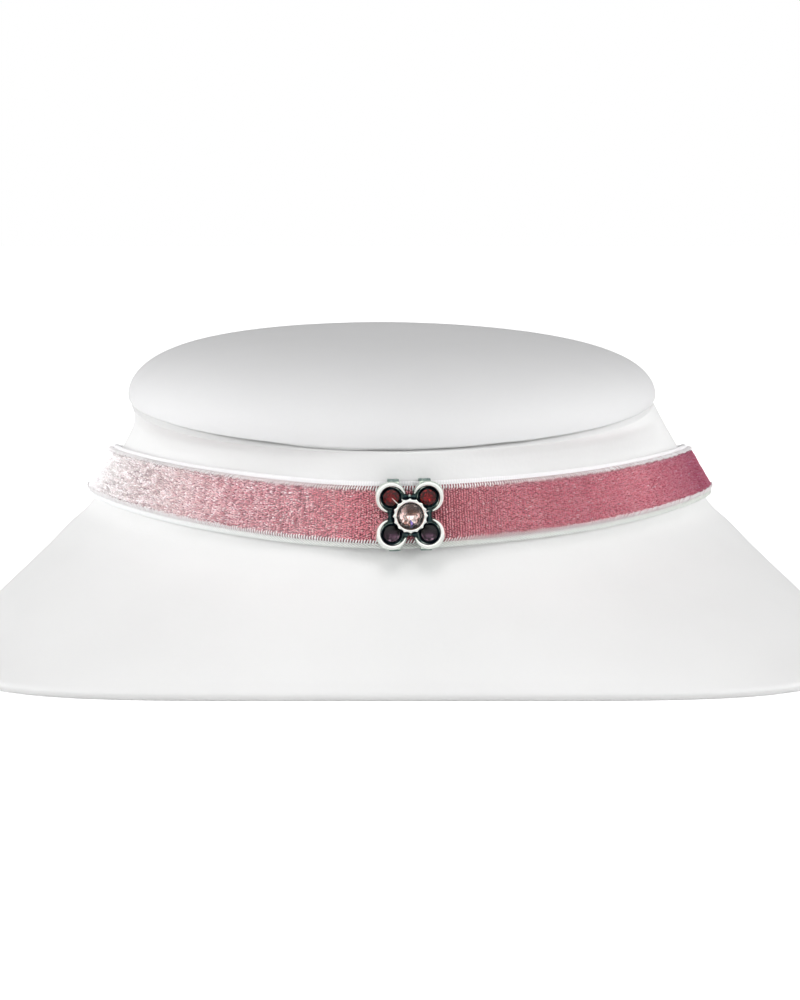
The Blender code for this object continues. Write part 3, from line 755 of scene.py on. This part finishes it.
def cloth_profile():
    """Closed section of the woven ribbon: height across its width, distance out, and selvedge share."""
    half = 0.5 * RIBBON_HEIGHT
    steps = 4 * SELVEDGE_CORDS

    def selvedge(side, width):
        edge = [(side * (half - width - 0.02 * MM), GROUND_THICKNESS, 0.0)]
        for step in range(steps + 1):
            share = step / steps
            relief = CORD_RELIEF * abs(math.sin(math.pi * SELVEDGE_CORDS * share))
            fall = 0.22 * MM * max(0.0, share - 0.7) / 0.3
            height = side * (half - width + share * width)
            edge.append((height, RIBBON_EDGE_THICKNESS - 0.04 * MM + relief - fall, 1.0))
        return edge

    points = [(-half + 0.12 * MM, 0.0, 1.0), (-half, 0.3 * RIBBON_EDGE_THICKNESS, 1.0)]
    points.extend(reversed(selvedge(-1.0, LOW_SELVEDGE)))
    middle = np.linspace(-half + LOW_SELVEDGE + 0.2 * MM, half - TOP_SELVEDGE - 0.2 * MM, 9)
    points.extend((height, GROUND_THICKNESS, 0.0) for height in middle)
    points.extend(selvedge(1.0, TOP_SELVEDGE))
    points.extend([(half, 0.3 * RIBBON_EDGE_THICKNESS, 1.0), (half - 0.12 * MM, 0.0, 1.0)])
    return np.array(points)


def build_cloth(path):
    """The woven ribbon itself, with corded white selvedges."""
    profile = cloth_profile()
    stations = np.linspace(0.0, path.length, CLOTH_STATIONS)
    distance = np.repeat(stations[:, None], len(profile), axis=1)
    height, away, edge = (np.repeat(column[None, :], len(stations), axis=0) for column in profile.T)
    spots = path.at(distance, height, away)
    cloth = loft("ribbon_cloth", spots)
    # Painted sheen on the cloth's front, read by place across the ribbon
    across, sheen_paint = np.array(PAINTED_LIGHT_ROWS).T[:2]
    add_values(cloth, "frost", np.interp(spots[..., 0] / MM, across, sheen_paint) * (spots[..., 1] < 0.0))
    add_values(cloth, "edge", edge)
    add_values(cloth, "along", distance)
    add_values(cloth, "side", height)
    dress(cloth, woven("ribbon_weave"), "rose_velvet", "velvet_ribbon")
    return cloth


def build_teeth(path, random):
    """Slanted stitches that bind the pile's two edges."""
    count = int(path.length / WEFT_PITCH)
    rings = 5
    sides = 6
    share = np.linspace(0.0, 1.0, rings)
    fullness = np.sqrt(np.sin(math.pi * np.clip(share, 0.1, 0.9)))
    turn = ring_angles(sides)
    points = []
    faces = []
    for side, length, lean, foot in TEETH:
        ground = 0.5 * RIBBON_HEIGHT - (LOW_SELVEDGE if side < 0.0 else TOP_SELVEDGE)
        for distance in (np.arange(count) + 0.5) * WEFT_PITCH:
            jitter = random.uniform(-1.0, 1.0, 4)
            reach = length * (1.0 + 0.2 * jitter[0])
            slant = lean * (1.0 + 0.3 * jitter[1])
            radius = TOOTH_RADIUS * (1.0 + 0.15 * jitter[2])
            along = distance + slant * (share - 0.5)
            height = side * (ground + foot - reach * share)
            away = RIBBON_EDGE_THICKNESS - 0.02 * MM + TOOTH_RISE * np.sin(0.60 * math.pi * share)
            width = radius * fullness
            along = along[:, None] + width[:, None] * np.cos(turn)[None, :]
            away = away[:, None] + width[:, None] * np.sin(turn)[None, :] * side
            height = np.repeat(height[:, None], sides, axis=1)
            points.append(np.stack((along, height, away), axis=-1))
    for number in range(len(points)):
        first = number * rings * sides
        faces.extend(grid_faces(rings, sides, first=first) + end_faces(rings, sides, first))
    stitches = make_piece("selvedge_stitches", path.at(*np.reshape(points, (-1, 3)).T), faces)
    return dress(stitches, thread("selvedge_thread"), "rose_velvet")


def build_pile(path, random, name, low, high):
    """Velvet pile between two shares of the ribbon's length: bent blades in rows and columns."""
    bottom = -0.5 * RIBBON_HEIGHT + LOW_SELVEDGE + PILE_LOW_INSET
    top = 0.5 * RIBBON_HEIGHT - TOP_SELVEDGE - PILE_TOP_INSET
    columns = np.arange(int(low * path.length / WEFT_PITCH), int(high * path.length / WEFT_PITCH))
    rows = int((top - bottom) / PILE_ROW_PITCH)
    grid = np.meshgrid(columns, np.arange(rows), np.arange(BLADES_PER_TUFT), indexing="ij")
    column, row = grid[0].ravel(), grid[1].ravel()
    patch = column - columns[0]
    count = len(row)
    across, along, _ = path.at((column + 0.5) * WEFT_PITCH, np.zeros(count), np.zeros(count)).T
    front = along < 0.0
    ornament = across - ORNAMENT_SHIFT

    # Blades stand in clear columns beside the ornament and more loosely elsewhere
    loose = np.maximum(-ornament / (4.0 * MM), (ornament - 18.0 * MM) / (16.0 * MM))
    loose = np.where(front, np.clip(loose, 0.0, 1.0), 1.0)
    spread = BLADE_SPREAD * blend(0.78, 1.1, loose)
    column_shade = random.normal(0.0, 0.05, len(columns) + 1)[patch]
    distance = (column + 0.5) * WEFT_PITCH + random.uniform(-1.0, 1.0, count) * spread
    height = (row + 0.5 + 0.5 * (column % 2)) / (rows + 0.5) * (top - bottom) + bottom
    height = height + random.uniform(-1.0, 1.0, count) * BLADE_SPREAD
    length = RIBBON_PILE_THICKNESS - GROUND_THICKNESS + random.normal(0.0, 0.05 * MM, count)
    near_edge = 1.0 - ease(np.minimum(top - height, height - bottom), 0.0, PILE_EDGE_FADE)
    length = length - PILE_EDGE_DROP * near_edge ** 2
    lean_along = random.normal(NAP_LEAN, 0.6, count) * BLADE_LEAN * blend(0.5, 1.0, loose)
    lean_up = random.normal(-0.1, 0.6, count) * BLADE_LEAN + np.sign(height) * near_edge * 0.10 * MM
    turn = random.uniform(0.0, FULL_TURN, count)[:, None] + FULL_TURN * np.arange(3)[None, :] / 3.0

    def triangle(along, up, away, radius):
        return np.stack((along[:, None] + radius * np.cos(turn), up[:, None] + radius * np.sin(turn),
                         np.repeat(away[:, None], 3, axis=1)), axis=-1)

    foot = triangle(distance, height, np.full(count, GROUND_THICKNESS - 0.05 * MM), BLADE_FOOT)
    tip = triangle(distance + lean_along, height + lean_up, GROUND_THICKNESS + length, BLADE_TIP)
    block = np.concatenate((foot, tip), axis=1).reshape(-1, 3)
    block[:, 0] = np.clip(block[:, 0], 0.0, path.length)
    first = 6 * np.arange(count)[:, None]
    quads = np.concatenate([first + np.array(face) for face in ((0, 1, 4, 3), (1, 2, 5, 4), (2, 0, 3, 5))])
    ends = np.concatenate([first + np.array(face) for face in ((3, 4, 5), (2, 1, 0))])
    pile = make_piece(name, path.at(*block.T), quads.tolist() + ends.tolist())

    # Tones: lying streaks at the left end, upright rows before the ornament, painted glints that grow
    # denser left of the ornament, and a pale top edge added to the painted sheen
    left = ease(-ornament, 0.0, 20.0 * MM) * front
    lying = ease(-across, 34.0 * MM, 6.0 * MM) * front
    upright = ease(-across, 8.0 * MM, 6.0 * MM) * (1.0 - ease(-across, 30.0 * MM, 6.0 * MM)) * front
    tufts = random.normal(0.0, 1.0, (rows, len(columns) // 5 + 1))[row, patch // 5]
    ranks = random.normal(0.0, 1.0, (len(columns), rows // 4 + 1))[patch, row // 4]
    shade = 0.46 + column_shade + random.normal(0.0, 0.15, count)
    shade = shade + 0.20 * lying * tufts + 0.16 * upright * ranks
    fade = np.where(front, 1.0, np.exp(-np.maximum(along, 0.0) / (14.0 * MM)))
    # Painted sheen, painted white highlight and painted plum shade, read by place across the front and
    # fading behind
    places, *tables = np.array(PAINTED_LIGHT_ROWS).T
    frost, bleach, plum = (np.interp(across / MM, places, table) * fade for table in tables)
    # A pale top edge on the front, added to the painted sheen
    haze = (1.0 - ease(top - height, 0.0, TOP_HAZE)) * front * random.uniform(0.2, 0.9, count)
    frost = frost + (1.0 - frost) * haze
    frost = np.clip(frost + random.normal(0.0, 0.16, count) * np.sqrt(frost * (1.0 - frost)), 0.0, 1.0)
    # Painted glints: random blades set near white, more of them left of the ornament
    glint = random.uniform(0.0, 1.0, count) < blend(0.02, 0.13, left)
    shade = np.clip(np.where(glint, random.uniform(0.85, 1.0, count), shade), 0.0, 1.0)
    for layer, values in (("shade", shade), ("frost", frost), ("bleach", bleach), ("plum", plum)):
        add_values(pile, layer, np.repeat(values, 6))
    add_values(pile, "rise", np.tile((0.0, 0.0, 0.0, 1.0, 1.0, 1.0), count))
    return pile


def build_ribbon(path):
    """Cloth, stitches and pile. Gives the pieces of the pile."""
    random = np.random.default_rng(7)
    cloth = build_cloth(path)
    pieces = [build_teeth(path, random)]
    look = velvet("velvet_pile")
    for number in range(PILE_PARTS):
        pile = build_pile(path, random, f"velvet_pile_{number + 1}", number / PILE_PARTS,
                          (number + 1) / PILE_PARTS)
        pieces.append(dress(pile, look, "rose_velvet"))
    return pieces[1:]


# Ornament


def petal_places():
    """Middle of each petal and the direction in which its rim opens."""
    for across, up in ((-1, 1), (1, 1), (-1, -1), (1, -1)):
        yield (across * PETAL_ACROSS, up * PETAL_UP), math.atan2(-up, -across)


def plate_rows():
    """Back plate: four round lobes that meet round the middle."""
    spread = math.hypot(PETAL_ACROSS, PETAL_UP)
    lobe_angle = math.atan2(PETAL_UP, PETAL_ACROSS)
    angles = ring_angles(192)
    distance = np.full(len(angles), math.sqrt(spread ** 2 - RIM_OUTER_RADIUS ** 2))
    for lobe in (lobe_angle, math.pi - lobe_angle, math.pi + lobe_angle, -lobe_angle):
        off = spread * np.sin(angles - lobe)
        inside = (np.abs(off) < RIM_OUTER_RADIUS) & (np.cos(angles - lobe) > 0.0)
        far = spread * np.cos(angles - lobe) + np.sqrt(np.clip(RIM_OUTER_RADIUS ** 2 - off ** 2, 0.0, None))
        distance = np.where(inside, np.maximum(distance, far), distance)
    rows = []
    for inset, level in ((0.985, 0.0), (1.0, 0.15), (1.0, 0.7), (0.97, 1.0)):
        rows.append(ring(distance * inset, angles, level * PLATE_THICKNESS))
    return rows


RIM_SECTION = (
    # share of the half wall, share of the height
    (-1.00, 0.00),
    (1.18, 0.00),
    (1.20, 0.40),
    (1.10, 0.50),
    (0.86, 0.52),
    (0.90, 0.78),
    (0.72, 0.93),
    (0.36, 1.00),
    (-0.30, 1.00),
    (-0.70, 0.92),
    (-0.96, 0.74),
)


def rim_rows(place, facing):
    """One petal's open rim: a rounded wall on a narrow ledge, tapering to points at its opening."""
    half = 0.5 * RIM_WALL
    top = PLATE_THICKNESS + RIM_HEIGHT
    foot = PLATE_THICKNESS - SINK
    stations = 64
    rows = []
    for step in range(stations + 1):
        share = step / stations
        angle = facing + 0.5 * RIM_OPENING + (FULL_TURN - RIM_OPENING) * share
        fullness = blend(RIM_TIP_SHARE, 1.0, math.sin(math.pi * share) ** 0.6)
        row = []
        for away, height in RIM_SECTION:
            radius = RIM_OUTER_RADIUS - half + half * (1.0 - fullness) * 0.5 + away * half * fullness
            level = foot + height * (top - foot) * blend(0.55, 1.0, fullness)
            row.append((place[0] + radius * math.cos(angle), place[1] + radius * math.sin(angle), level))
        rows.append(row)
    return rows


def turned_rows(section, sides, place=(0.0, 0.0), wave=None):
    """A closed (radius, height) section turned round the out direction."""
    rows = []
    for angle in ring_angles(sides):
        row = []
        for radius, height in section:
            if wave:
                radius, height = wave(angle, radius, height)
            row.append((place[0] + radius * math.cos(angle), place[1] + radius * math.sin(angle), height))
        rows.append(row)
    return rows


def bezel_section():
    """The middle bezel: a narrow foot that flares to a toothed lip."""
    foot = PLATE_THICKNESS - SINK
    top = PLATE_THICKNESS + BEZEL_HEIGHT
    lip = BEZEL_INNER_RADIUS + BEZEL_WALL
    return (
        (BEZEL_INNER_RADIUS, foot),
        (BEZEL_FOOT_RADIUS, foot),
        (BEZEL_FOOT_RADIUS, blend(foot, top, 0.45)),
        (lip, blend(foot, top, 0.80)),
        (lip - 0.05 * BEZEL_WALL, blend(foot, top, 0.93)),
        (lip - 0.25 * BEZEL_WALL, top),
        (BEZEL_INNER_RADIUS + 0.2 * BEZEL_WALL, top),
        (BEZEL_INNER_RADIUS, blend(foot, top, 0.92)),
    )


def bezel_wave(angle, radius, height):
    """Push the lip out into pointed teeth with a ridge on each."""
    if radius < BEZEL_FOOT_RADIUS + STONE_GAP:
        return radius, height
    tooth = 1.0 - abs(math.sin(0.5 * BEZEL_TEETH * angle))
    return radius + BEZEL_TOOTH * (1.5 * tooth - 0.4), height + 0.05 * MM * (tooth - 0.4)


def cup_section():
    """A petal's cup, the ring round its stone."""
    inner = PETAL_STONE_RADIUS + STONE_GAP
    foot = PLATE_THICKNESS - SINK
    top = PLATE_THICKNESS + CUP_HEIGHT
    return (
        (inner, foot),
        (inner + CUP_WALL, foot),
        (inner + CUP_WALL, blend(foot, top, 0.8)),
        (inner + 0.6 * CUP_WALL, top),
        (inner, top),
    )


PRONGS = (
    # direction in degrees, then in mm: start and end from the middle, start and end height, half width
    (135.0, 2.3, 3.75, 1.25, 1.05, 0.085),
    (116.0, 2.3, 2.95, 1.70, 1.45, 0.085),
    (172.0, 2.2, 3.05, 0.70, 0.35, 0.10),
    (184.0, 2.2, 2.95, 0.70, 0.35, 0.10),
    (14.0, 2.3, 2.90, 1.60, 1.30, 0.085),
    (-24.0, 2.3, 2.85, 1.60, 1.30, 0.085),
    (90.0, 2.2, 3.15, 0.55, 0.05, 0.36),
    (-90.0, 2.2, 3.05, 0.45, 0.00, 0.30),
)


def prong_rows(direction, start, end, start_height, end_height, half):
    """A small burr of cast metal that points out from the bezel, four-sided and tapering."""
    direction = math.radians(direction)
    rows = []
    for share in (0.0, 0.5, 1.0):
        reach = blend(start, end, share) * MM
        level = PLATE_THICKNESS + blend(start_height, end_height, share) * MM
        width = half * blend(1.0, 0.45, share) * MM
        row = []
        for side, rise in ((-1.0, -1.0), (1.0, -1.0), (1.0, 1.0), (-1.0, 1.0)):
            row.append((reach * math.cos(direction) - side * width * math.sin(direction),
                        reach * math.sin(direction) + side * width * math.cos(direction),
                        level + rise * 0.11 * MM))
        rows.append(row)
    return rows


def staple_rows(across):
    """One staple: a flat bar bent round the ribbon, as a closed loop."""
    half = 0.5 * RIBBON_HEIGHT + EDGE_CLEARANCE
    back = -(RIBBON_PILE_THICKNESS + 2.0 * CLEARANCE)
    inner = ((-half, back), (half, back), (half, 0.15 * PLATE_THICKNESS), (-half, 0.15 * PLATE_THICKNESS))
    top = half + 0.7 * BAR_THICKNESS
    low = half + 0.3 * BAR_THICKNESS
    outer = (
        (-low, back - BAR_THICKNESS),
        (top, back - BAR_THICKNESS),
        (top, 0.75 * PLATE_THICKNESS),
        (-low, 0.75 * PLATE_THICKNESS),
    )
    left = across - 0.5 * BAR_WIDTH
    right = across + 0.5 * BAR_WIDTH
    return [[(left, *near), (right, *near), (right, *far), (left, *far)] for near, far in zip(inner, outer)]


def select(pieces):
    """Select objects, the first one as the active one."""
    bpy.ops.object.select_all(action="DESELECT")
    for piece in pieces:
        piece.select_set(True)
    bpy.context.view_layer.objects.active = pieces[0]


def apply_modifiers(piece):
    """Keep the mesh that the modifiers make."""
    graph = bpy.context.evaluated_depsgraph_get()
    data = bpy.data.meshes.new_from_object(piece.evaluated_get(graph))
    piece.modifiers.clear()
    piece.data = data


def patina_values(points):
    """How blackened each point of the ornament is, from its place in the cast form."""
    across, up, out = points.T
    level = ease(out, PLATE_THICKNESS, RIM_HEIGHT)
    nearest = np.min([np.hypot(across - x, up - y) for (x, y), _ in petal_places()], axis=0)
    middle = np.hypot(across, up)
    inner = RIM_OUTER_RADIUS - RIM_WALL
    dark = 0.70 - 0.65 * ease(level, 0.0, 0.5)
    rim = 0.44 - 0.40 * ease(level, 0.35, 0.5)
    groove = 0.45 * np.exp(-((level - 0.45) / 0.06) ** 2)
    dark = blend(dark, rim + groove, ease(nearest, inner + 0.02 * MM, 0.05 * MM) * ease(level, 0.12, 0.1))
    dark = blend(1.15 - 0.35 * level, dark, ease(nearest, inner - 0.02 * MM, 0.06 * MM))
    outside = ease(middle, 0.98 * math.hypot(PETAL_ACROSS, PETAL_UP), 0.3 * MM)
    wall = ease(nearest, RIM_OUTER_RADIUS - 0.10 * MM, 0.05 * MM)
    dark = blend(dark, np.minimum(dark, 0.30), wall * outside)
    off_bezel = ease(middle, BEZEL_INNER_RADIUS + BEZEL_WALL + 0.25 * MM, 0.1 * MM)
    prong = ease(level, 0.25, 0.1) * off_bezel * (1.0 - ease(nearest, 0.72 * inner, 0.05 * MM))
    dark = blend(dark, 0.10, prong)
    dark = blend(np.clip(1.75 - 2.4 * (out - PLATE_THICKNESS) / BEZEL_HEIGHT, 0.04, 1.0), dark, off_bezel)
    return blend(dark, 0.50, ease(np.abs(up), 0.5 * RIBBON_HEIGHT, 0.05 * MM) * (level < 0.05))


def build_setting(matrix):
    """The ornament's metal as one soft casting."""
    pieces = [loft("plate", plate_rows())]
    for place, facing in petal_places():
        pieces.append(loft("rim", rim_rows(place, facing)))
        pieces.append(loft("cup", turned_rows(cup_section(), 48, place), closed=True))
    bezel = turned_rows(bezel_section(), 12 * BEZEL_TEETH, wave=bezel_wave)
    pieces.append(loft("bezel", bezel, closed=True))
    for prong in PRONGS:
        pieces.append(loft("prong", prong_rows(*prong)))
    for side in (-1, 1):
        pieces.append(loft("staple", staple_rows(side * BAR_ACROSS), closed=True))
    select(pieces)
    bpy.ops.object.join()
    setting = pieces[0]
    setting.name = "petal_setting"
    recalculate(setting)
    remesh = setting.modifiers.new("cast", "REMESH")
    remesh.mode = "VOXEL"
    remesh.voxel_size = CAST_VOXEL
    remesh.use_smooth_shade = True
    soften = setting.modifiers.new("soften", "SMOOTH")
    soften.factor = 0.5
    soften.iterations = 2
    apply_modifiers(setting)
    points = np.empty(3 * len(setting.data.vertices), np.float32)
    setting.data.vertices.foreach_get("co", points)
    add_values(setting, "patina", patina_values(points.reshape(-1, 3)))
    setting.data.transform(matrix)
    return dress(setting, antique_silver("old_silver"), "old_silver", "flower_setting")


def recalculate(piece):
    """Turn every face outwards."""
    select([piece])
    bpy.ops.object.mode_set(mode="EDIT")
    bpy.ops.mesh.select_all(action="SELECT")
    bpy.ops.mesh.normals_make_consistent(inside=False)
    bpy.ops.object.mode_set(mode="OBJECT")


def cut_stone(name, radius, crown, pavilion, girdle_level, flash, place=(0.0, 0.0)):
    """Round stone: table, star, kite and girdle facets above, foiled mains below."""
    mains = 8
    band = 0.06 * radius
    points = []

    def circle(count, ring_radius, level, turn=0.0):
        first = len(points)
        for step in range(count):
            angle = FULL_TURN * (step + turn) / count
            points.append((place[0] + ring_radius * math.cos(angle),
                           place[1] + ring_radius * math.sin(angle), level))
        return list(range(first, first + count))

    table = circle(mains, 0.58 * radius, girdle_level + crown)
    kites = circle(mains, 0.83 * radius, girdle_level + 0.48 * crown, 0.5)
    upper = circle(2 * mains, radius, girdle_level + band)
    lower = circle(2 * mains, radius, girdle_level - band)
    waist = circle(mains, 0.62 * radius, girdle_level - 0.46 * pavilion, 0.5)
    core = circle(mains, 0.30 * radius, girdle_level - 0.80 * pavilion)
    culet = circle(1, 0.0, girdle_level - pavilion)[0]
    faces = [table]
    backs = []
    for step in range(mains):
        after = (step + 1) % mains
        first, second, third = 2 * step, 2 * step + 1, (2 * step + 2) % (2 * mains)
        faces.extend((
            (table[after], table[step], kites[step]),
            (kites[step], upper[second], upper[third]),
            (kites[step], upper[first], upper[second]),
            (table[step], upper[first], kites[step]),
            (table[after], kites[step], upper[third]),
            (lower[first], lower[second], upper[second], upper[first]),
            (lower[second], lower[third], upper[third], upper[second]),
        ))
        backs.extend((
            (lower[second], lower[first], waist[step]),
            (lower[third], lower[second], waist[step]),
            (lower[first], core[step], waist[step]),
            (lower[third], waist[step], core[after]),
            (waist[step], core[step], core[after]),
            (culet, core[after], core[step]),
        ))
    stone = make_piece(name, points, faces + backs, smooth=False)
    recalculate(stone)
    values = []
    for number, face in enumerate(stone.data.polygons):
        face.material_index = 1 if number >= len(faces) else 0
        values.append(flash((face.center.x - place[0]) / radius, (face.center.y - place[1]) / radius))
    add_values(stone, "flash", values, "FACE")
    return stone


# Foil tones by facet: painted reflections from dark to white, with painted orange and violet fire at the
# top of the rose foil and painted glints at the top of the others
ROSE_FOIL = (
    (0.00, (0.16, 0.08, 0.06)),
    (0.20, (0.50, 0.33, 0.28)),
    (0.42, (0.95, 0.82, 0.80)),
    (0.62, (1.00, 0.94, 0.93)),
    (0.78, (1.00, 1.00, 1.00)),
    (0.88, (1.00, 0.66, 0.40)),
    (1.00, (0.35, 0.30, 0.95)),
)
GARNET_FOIL = (
    (0.00, (0.04, 0.006, 0.010)),
    (0.50, (0.17, 0.016, 0.022)),
    (0.90, (0.50, 0.045, 0.050)),
    (1.00, (0.90, 0.35, 0.32)),
)
PLUM_FOIL = (
    (0.00, (0.010, 0.004, 0.008)),
    (0.45, (0.05, 0.024, 0.044)),
    (0.80, (0.17, 0.125, 0.155)),
    (1.00, (0.70, 0.620, 0.680)),
)


def build_stones(matrix):
    """The middle stone and the four petal stones."""
    random = np.random.default_rng(11)

    # Painted reflections per facet: the rose stone gets a painted shadow over its top, a painted warm glint
    # low on its right and a painted coloured flash on one bottom facet
    def rose_flash(across, up):
        if up < -0.45 and abs(across - 0.08) < 0.12:
            return 1.0
        shadow = 0.75 * math.exp(-((up - 0.5) / 0.35) ** 2 - (across / 0.5) ** 2)
        warm_glint = 0.25 * math.exp(-((up + 0.2) / 0.3) ** 2 - ((across - 0.4) / 0.35) ** 2)
        return min(max(random.uniform(0.12, 0.80) - shadow + warm_glint, 0.0), 0.9)

    # The garnets are painted lighter towards the top
    def garnet_flash(across, up):
        return min(max(0.45 + 0.40 * up - 0.15 * across + random.normal(0.0, 0.14), 0.0), 1.0)

    # The plum stones are painted lighter towards the bottom
    def plum_flash(across, up):
        return min(max(0.30 - 0.60 * up + random.normal(0.0, 0.20), 0.0), 1.0)

    def petal_look(kind, colour, stops, flash):
        slot_name = f"{kind}_glass"
        return cut_glass(slot_name, colour, 1.4, 0.15), foil(f"{kind}_foil", stops, 0.12), slot_name, flash

    radius = BEZEL_INNER_RADIUS - STONE_GAP
    girdle = PLATE_THICKNESS + BEZEL_HEIGHT - 0.3 * MM
    middle = cut_stone("rose_chaton", radius, 0.34 * radius, 0.68 * radius, girdle, rose_flash)
    middle.data.transform(matrix)
    dress(middle, cut_glass("rose_glass", (1.0, 0.87, 0.85), 1.55, 0.5), "rose_glass", "centre_stone")
    middle.data.materials.append(foil("rose_foil", ROSE_FOIL, 0.08))
    red = petal_look("garnet", (0.90, 0.20, 0.22), GARNET_FOIL, garnet_flash)
    plum = petal_look("plum", (0.70, 0.50, 0.62), PLUM_FOIL, plum_flash)
    girdle = PLATE_THICKNESS + CUP_HEIGHT - STONE_GAP
    for number, ((place, _), look) in enumerate(zip(petal_places(), (red, red, plum, plum)), 1):
        glass, back, slot_name, flash = look
        stone = cut_stone(f"petal_gem_{number}", PETAL_STONE_RADIUS, 0.30 * PETAL_STONE_RADIUS,
                          CUP_HEIGHT - 2.0 * STONE_GAP, girdle, flash, place)
        stone.data.transform(matrix)
        dress(stone, glass, slot_name, f"petal_stone_{number}")
        stone.data.materials.append(back)


def dress_clasp():
    """The clasp keeps its solid and gets its metal."""
    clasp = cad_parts["clasp"]
    clasp.data.materials.clear()
    clasp.data.materials.append(brushed_metal("clasp_metal"))


# Stage, lights and camera


def area_light(name, energy, azimuth, elevation, size=PANEL_SIZE):
    """Soft panel that faces the neck from a direction in degrees."""
    data = bpy.data.lights.new(name, "AREA")
    data.shape = "RECTANGLE"
    data.size, data.size_y = size
    data.energy = energy
    light = bpy.data.objects.new(name, data)
    azimuth = math.radians(azimuth)
    elevation = math.radians(elevation)
    back = Vector((math.sin(azimuth) * math.cos(elevation), -math.cos(azimuth) * math.cos(elevation),
                   math.sin(elevation)))
    light.location = LIGHT_TARGET + back * PANEL_DISTANCE
    light.rotation_euler = back.to_track_quat("Z", "Y").to_euler()
    light.visible_glossy = False
    light.visible_transmission = False
    bpy.context.scene.collection.objects.link(light)
    return light


def shine_on(light, pieces):
    """Let a light reach only some pieces."""
    group = bpy.data.collections.new(f"{light.name}_receivers")
    for piece in pieces:
        group.objects.link(piece)
    light.light_linking.receiver_collection = group


def build_world():
    """Pure white backdrop, a little grey fill light, and a bright tent for gloss and glass to show."""
    world = bpy.data.worlds.new("studio")
    bpy.context.scene.world = world
    world.use_nodes = True
    nodes = world.node_tree.nodes
    links = world.node_tree.links
    rays = nodes.new("ShaderNodeLightPath")

    def pick(value, low, high, low_end=0.0):
        made = nodes.new("ShaderNodeMapRange")
        made.inputs["From Min"].default_value = low_end
        for socket, level in (("Value", value), ("To Min", low), ("To Max", high)):
            if isinstance(level, float):
                made.inputs[socket].default_value = level
            else:
                links.new(level, made.inputs[socket])
        return made.outputs["Result"]

    split = nodes.new("ShaderNodeSeparateXYZ")
    links.new(nodes.new("ShaderNodeTexCoord").outputs["Generated"], split.inputs["Vector"])
    tent = pick(split.outputs["Z"], TENT_LOW, TENT_HIGH, -0.3)
    behind = pick(split.outputs["Y"], 0.0, 1.0, -0.2)
    tent = pick(behind, tent, TENT_BACK)
    strength = pick(rays.outputs["Is Glossy Ray"], FILL_LIGHT, tent)
    through = pick(behind, STONE_GLOW, TENT_BACK)
    strength = pick(rays.outputs["Is Transmission Ray"], strength, through)
    strength = pick(rays.outputs["Is Camera Ray"], strength, 1.0)
    links.new(strength, nodes["Background"].inputs["Strength"])
    nodes["Background"].inputs["Color"].default_value = (1.0, 1.0, 1.0, 1.0)


def build_stage():
    """White floor that is seen a little brighter than it is lit, so that only a faint shadow shows."""
    bpy.ops.mesh.primitive_plane_add(size=6.0, location=(0.0, 0.0, -0.05 * MM))
    floor = bpy.context.object
    floor.name = "floor"
    look = Shading("floor_white", Roughness=0.9, Base_Color=(0.85, 0.85, 0.85),
                   Emission_Color=(1.0, 1.0, 1.0))
    seen = look.node("ShaderNodeLightPath").outputs["Is Camera Ray"]
    look.show(Emission_Strength=look.math("MULTIPLY", seen, FLOOR_GLOW))
    floor.data.materials.append(look.material)


def build_camera():
    """The photograph's view."""
    data = bpy.data.cameras.new("camera")
    data.lens = CAMERA_LENS_MM
    data.sensor_width = 36.0
    data.clip_start = 0.01
    camera = bpy.data.objects.new("camera", data)
    back = Vector((0.0, -math.cos(CAMERA_ELEVATION), math.sin(CAMERA_ELEVATION)))
    camera.location = CAMERA_AIM + back * CAMERA_DISTANCE
    camera.rotation_euler = (0.5 * math.pi - CAMERA_ELEVATION, 0.0, 0.0)
    bpy.context.scene.collection.objects.link(camera)
    bpy.context.scene.camera = camera


def main():
    """Dress the frame, light it and place the camera."""
    bpy.context.scene.view_settings.view_transform = "Standard"
    build_camera()
    build_world()
    build_stage()
    for panel in PANELS:
        area_light(*panel)
    build_bust()
    build_cap()
    pile = build_ribbon(RibbonPath())
    for panel in PILE_PANELS:
        shine_on(area_light(*panel), pile)
    matrix = ornament_matrix()
    build_setting(matrix)
    build_stones(matrix)
    dress_clasp()


main()
